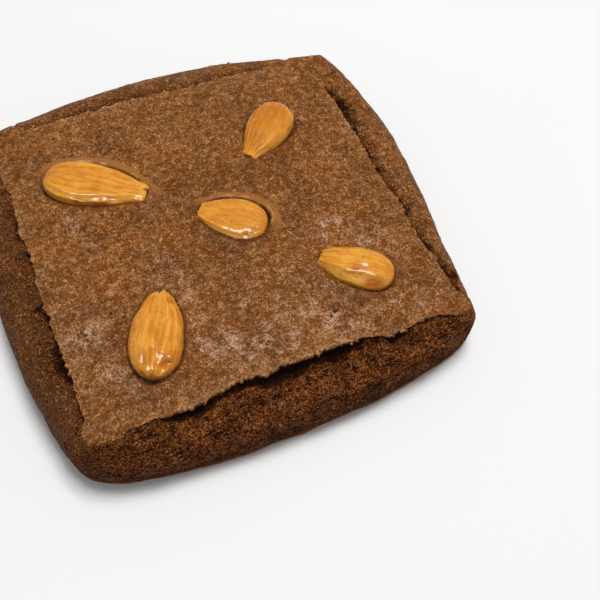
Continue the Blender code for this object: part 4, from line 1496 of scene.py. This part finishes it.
def almond_material(finish):
    """A roasted almond: gold, with streaks along its ridges, paler flesh at bevels and tips,
    small brown specks and a thin glaze."""
    on = Shading("roasted almond")
    grain, ridge = on.mask("grain", "Vector"), on.mask("ridge")
    pale, dent, roast = on.mask("pale"), on.mask("dent"), on.mask("roast")
    streak = on.noise(1.0, 3.0, 0.6, 0.3, on.stretched(grain, (0.20, 0.75, 1.0)))
    streak = streak + (ridge - 0.5) * 0.30
    uneven = on.noise(900.0, 3.0).spread(0.35, 0.65, 0.75, 1.25)
    speck = on.noise(1100.0, 1.0).spread(0.70, 0.75)
    colour = on.layers(
        finish.almond,
        (streak.spread(0.58, 0.34, 0.0, 0.55), finish.almond_pale),
        (streak.spread(0.50, 0.74, 0.0, 0.75), finish.almond_brown),
        (on.noise(210.0, 3.0).spread(0.50, 0.68, 0.0, 0.45), finish.almond_brown),
        (on.noise(330.0, 3.0).spread(0.48, 0.66, 0.0, 0.40), finish.almond_pale),
        (pale * 0.72 * uneven, finish.almond_pale),
        (roast * on.noise(700.0, 3.0).spread(0.30, 0.60, 0.6, 1.0), finish.almond_brown),
        (speck * 0.8, finish.almond_brown),
        (dent, finish.almond_brown),
    )
    lines = on.noise(1.0, 2.0, 0.5, 0.0, on.stretched(grain, (0.45, 2.0, 1.0)))
    return on.finish(
        Base_Color=colour,
        Roughness=on.noise(450.0, 3.0).spread(0.3, 0.7, 0.24, 0.42),
        Normal=on.relief(lines + on.noise(620.0, 3.0) * 1.4, 0.00010),
        Specular_IOR_Level=0.12,
        Coat_Weight=0.6,
        Coat_Roughness=0.13,
        Subsurface_Weight=0.12,
        Subsurface_Radius=(0.0030, 0.0014, 0.0005),
        Subsurface_Scale=1.0,
    )


def crumbs_material(finish):
    """Loose crumbs: the crumb's browns, each crumb its own tone."""
    on = Shading("loose crumbs")
    light = on.mask("tone").spread(0.3, 1.0, 0.0, 0.9)
    shade = on.noise(1400.0, 2.0).spread(0.3, 0.7, 0.7, 1.1)
    colour = on.blend(1.0, on.blend(light, finish.crumb, finish.fleck), shade, "MULTIPLY")
    normal = on.relief(on.noise(2600.0, 3.0), 0.00008)
    return on.finish(Base_Color=colour, Roughness=0.85, Normal=normal, Specular_IOR_Level=0.06)


def floor_material(stage):
    """The plain floor: matt, with a faint unevenness."""
    on = Shading("plain floor")
    shade = on.noise(6.0, 2.0).spread(0.3, 0.7, 0.985, 1.0)
    return on.finish(Base_Color=on.blend(1.0, stage.floor, shade, "MULTIPLY"), Roughness=0.7)


def direction(azimuth, elevation):
    """The way from the cookie towards a light or the camera. Azimuth turns about +Z, from the
    front."""
    level = math.cos(elevation)
    return Vector((math.sin(azimuth) * level, -math.cos(azimuth) * level, math.sin(elevation)))


def area_light(name, light, power, unseen):
    """A square light that shines on the cookie's middle. unseen names the rays that miss it."""
    azimuth, elevation, distance, size = light
    back = direction(math.radians(azimuth), math.radians(elevation))
    data = bpy.data.lights.new(name, "AREA")
    data.shape = "SQUARE"
    data.size = size
    data.energy = power
    lamp = bpy.data.objects.new(name, data)
    lamp.location = back * distance
    lamp.rotation_euler = (-back).to_track_quat("-Z", "Y").to_euler()
    setattr(lamp, unseen, False)
    bpy.context.scene.collection.objects.link(lamp)


def place_camera(stage):
    """The camera looks at a point on the floor from an azimuth and elevation, then rolls."""
    back = direction(stage.azimuth, stage.elevation)
    side = Vector((0.0, 0.0, 1.0)).cross(back).normalized()
    turn = Matrix((side, back.cross(side), back)).transposed()
    data = bpy.data.cameras.new("camera")
    data.lens = stage.lens
    data.sensor_width = SENSOR_WIDTH
    data.clip_start = NEAREST_SEEN
    camera = bpy.data.objects.new("camera", data)
    place = Matrix.Translation(Vector(stage.look_at) + back * stage.distance)
    camera.matrix_world = place @ (turn @ Matrix.Rotation(stage.roll, 3, "Z")).to_4x4()
    bpy.context.scene.collection.objects.link(camera)
    bpy.context.scene.camera = camera


def set_sky(strength):
    """Even white light from everywhere."""
    world = bpy.data.worlds.new("even light")
    bpy.context.scene.world = world
    world.use_nodes = True
    background = world.node_tree.nodes["Background"].inputs
    background["Color"].default_value = (1.0, 1.0, 1.0, 1.0)
    background["Strength"].default_value = strength


def build_floor(material):
    """One quad, just below the cookie."""
    corners = np.array([(-1.0, -1.0), (1.0, -1.0), (1.0, 1.0), (-1.0, 1.0)]) * FLOOR_HALF
    points = np.column_stack([corners, np.full(4, FLOOR_LEVEL)])
    return make_piece("floor", points, np.arange(4)[None], np.zeros((0, 3), int), {}, material, 30)


def attach(piece, nodes):
    """Joins a piece to the frame: it rides on the body and may replace nodes."""
    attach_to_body(piece, ROOT_BODY)
    for node in nodes:
        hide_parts(node)


class SPECULAAS_OT_cookie(bpy.types.Operator):
    """Build the crust and the crumbly sides"""

    bl_idname = "speculaas.cookie"
    bl_label = "Cookie"
    bl_options = {"REGISTER", "UNDO"}

    def execute(self, context):
        sizes = context.scene.speculaas_sizes
        material = dough_material(context.scene.speculaas_finish)
        top, top_masks, side, side_masks, _, _ = cookie_grids(sizes)
        crust = build_crust(sizes, material, top, top_masks, side, side_masks)
        crumb = build_crumb(material, side, side_masks)
        for piece in (crust, crumb):
            attach(piece, [COOKIE_NODE])
        return {"FINISHED"}


class SPECULAAS_OT_almonds(bpy.types.Operator):
    """Build the five almonds"""

    bl_idname = "speculaas.almonds"
    bl_label = "Almonds"
    bl_options = {"REGISTER", "UNDO"}

    def execute(self, context):
        sizes = context.scene.speculaas_sizes
        material = almond_material(context.scene.speculaas_finish)
        for seed, (node, almond) in enumerate(ALMONDS.items()):
            attach(build_almond(sizes, node, almond, seed, material), [node])
        return {"FINISHED"}


class SPECULAAS_OT_crumbs(bpy.types.Operator):
    """Scatter loose crumbs in the tear and on the sides"""

    bl_idname = "speculaas.crumbs"
    bl_label = "Loose crumbs"
    bl_options = {"REGISTER", "UNDO"}

    def execute(self, context):
        sizes = context.scene.speculaas_sizes
        material = crumbs_material(context.scene.speculaas_finish)
        _, _, side, _, normal, opening = cookie_grids(sizes)
        attach(build_crumbs(material, side, normal, opening), [])
        return {"FINISHED"}


class SPECULAAS_OT_stage(bpy.types.Operator):
    """Set the floor, the lights and the camera"""

    bl_idname = "speculaas.stage"
    bl_label = "Stage"
    bl_options = {"REGISTER", "UNDO"}

    def execute(self, context):
        stage = context.scene.speculaas_stage
        build_floor(floor_material(stage))
        set_sky(stage.sky)
        area_light("key light", KEY_LIGHT, stage.key, "visible_glossy")
        area_light("front light", FRONT_LIGHT, stage.front, "visible_diffuse")
        place_camera(stage)
        context.scene.view_settings.view_transform = "Standard"
        return {"FINISHED"}


class SPECULAAS_PT_panel(bpy.types.Panel):
    """The operators and settings, in the sidebar"""

    bl_idname = "SPECULAAS_PT_panel"
    bl_label = "Speculaas cookie"
    bl_space_type = "VIEW_3D"
    bl_region_type = "UI"
    bl_category = "Speculaas"

    def draw(self, context):
        for operator in OPERATORS:
            self.layout.operator(operator.bl_idname)
        for group in GROUPS:
            settings = getattr(context.scene, group)
            box = self.layout.box()
            for name in settings.bl_rna.properties.keys():
                if name not in ("name", "rna_type"):
                    box.prop(settings, name)


GROUPS = {
    "speculaas_sizes": SpeculaasSizes,
    "speculaas_finish": SpeculaasFinish,
    "speculaas_stage": SpeculaasStage,
}
OPERATORS = (
    SPECULAAS_OT_cookie,
    SPECULAAS_OT_almonds,
    SPECULAAS_OT_crumbs,
    SPECULAAS_OT_stage,
)


def register():
    """Registers the classes and puts their settings on the scene."""
    for kind in (*GROUPS.values(), *OPERATORS, SPECULAAS_PT_panel):
        bpy.utils.register_class(kind)
    for name, group in GROUPS.items():
        setattr(bpy.types.Scene, name, PointerProperty(type=group))


def unregister():
    """Undoes what register did."""
    for name in GROUPS:
        delattr(bpy.types.Scene, name)
    for kind in reversed((*GROUPS.values(), *OPERATORS, SPECULAAS_PT_panel)):
        bpy.utils.unregister_class(kind)


def main():
    """Builds the cookie, its almonds, the loose crumbs and the stage, in order."""
    register()
    bpy.ops.speculaas.cookie()
    bpy.ops.speculaas.almonds()
    bpy.ops.speculaas.crumbs()
    bpy.ops.speculaas.stage()


if __name__ == "__main__":
    main()
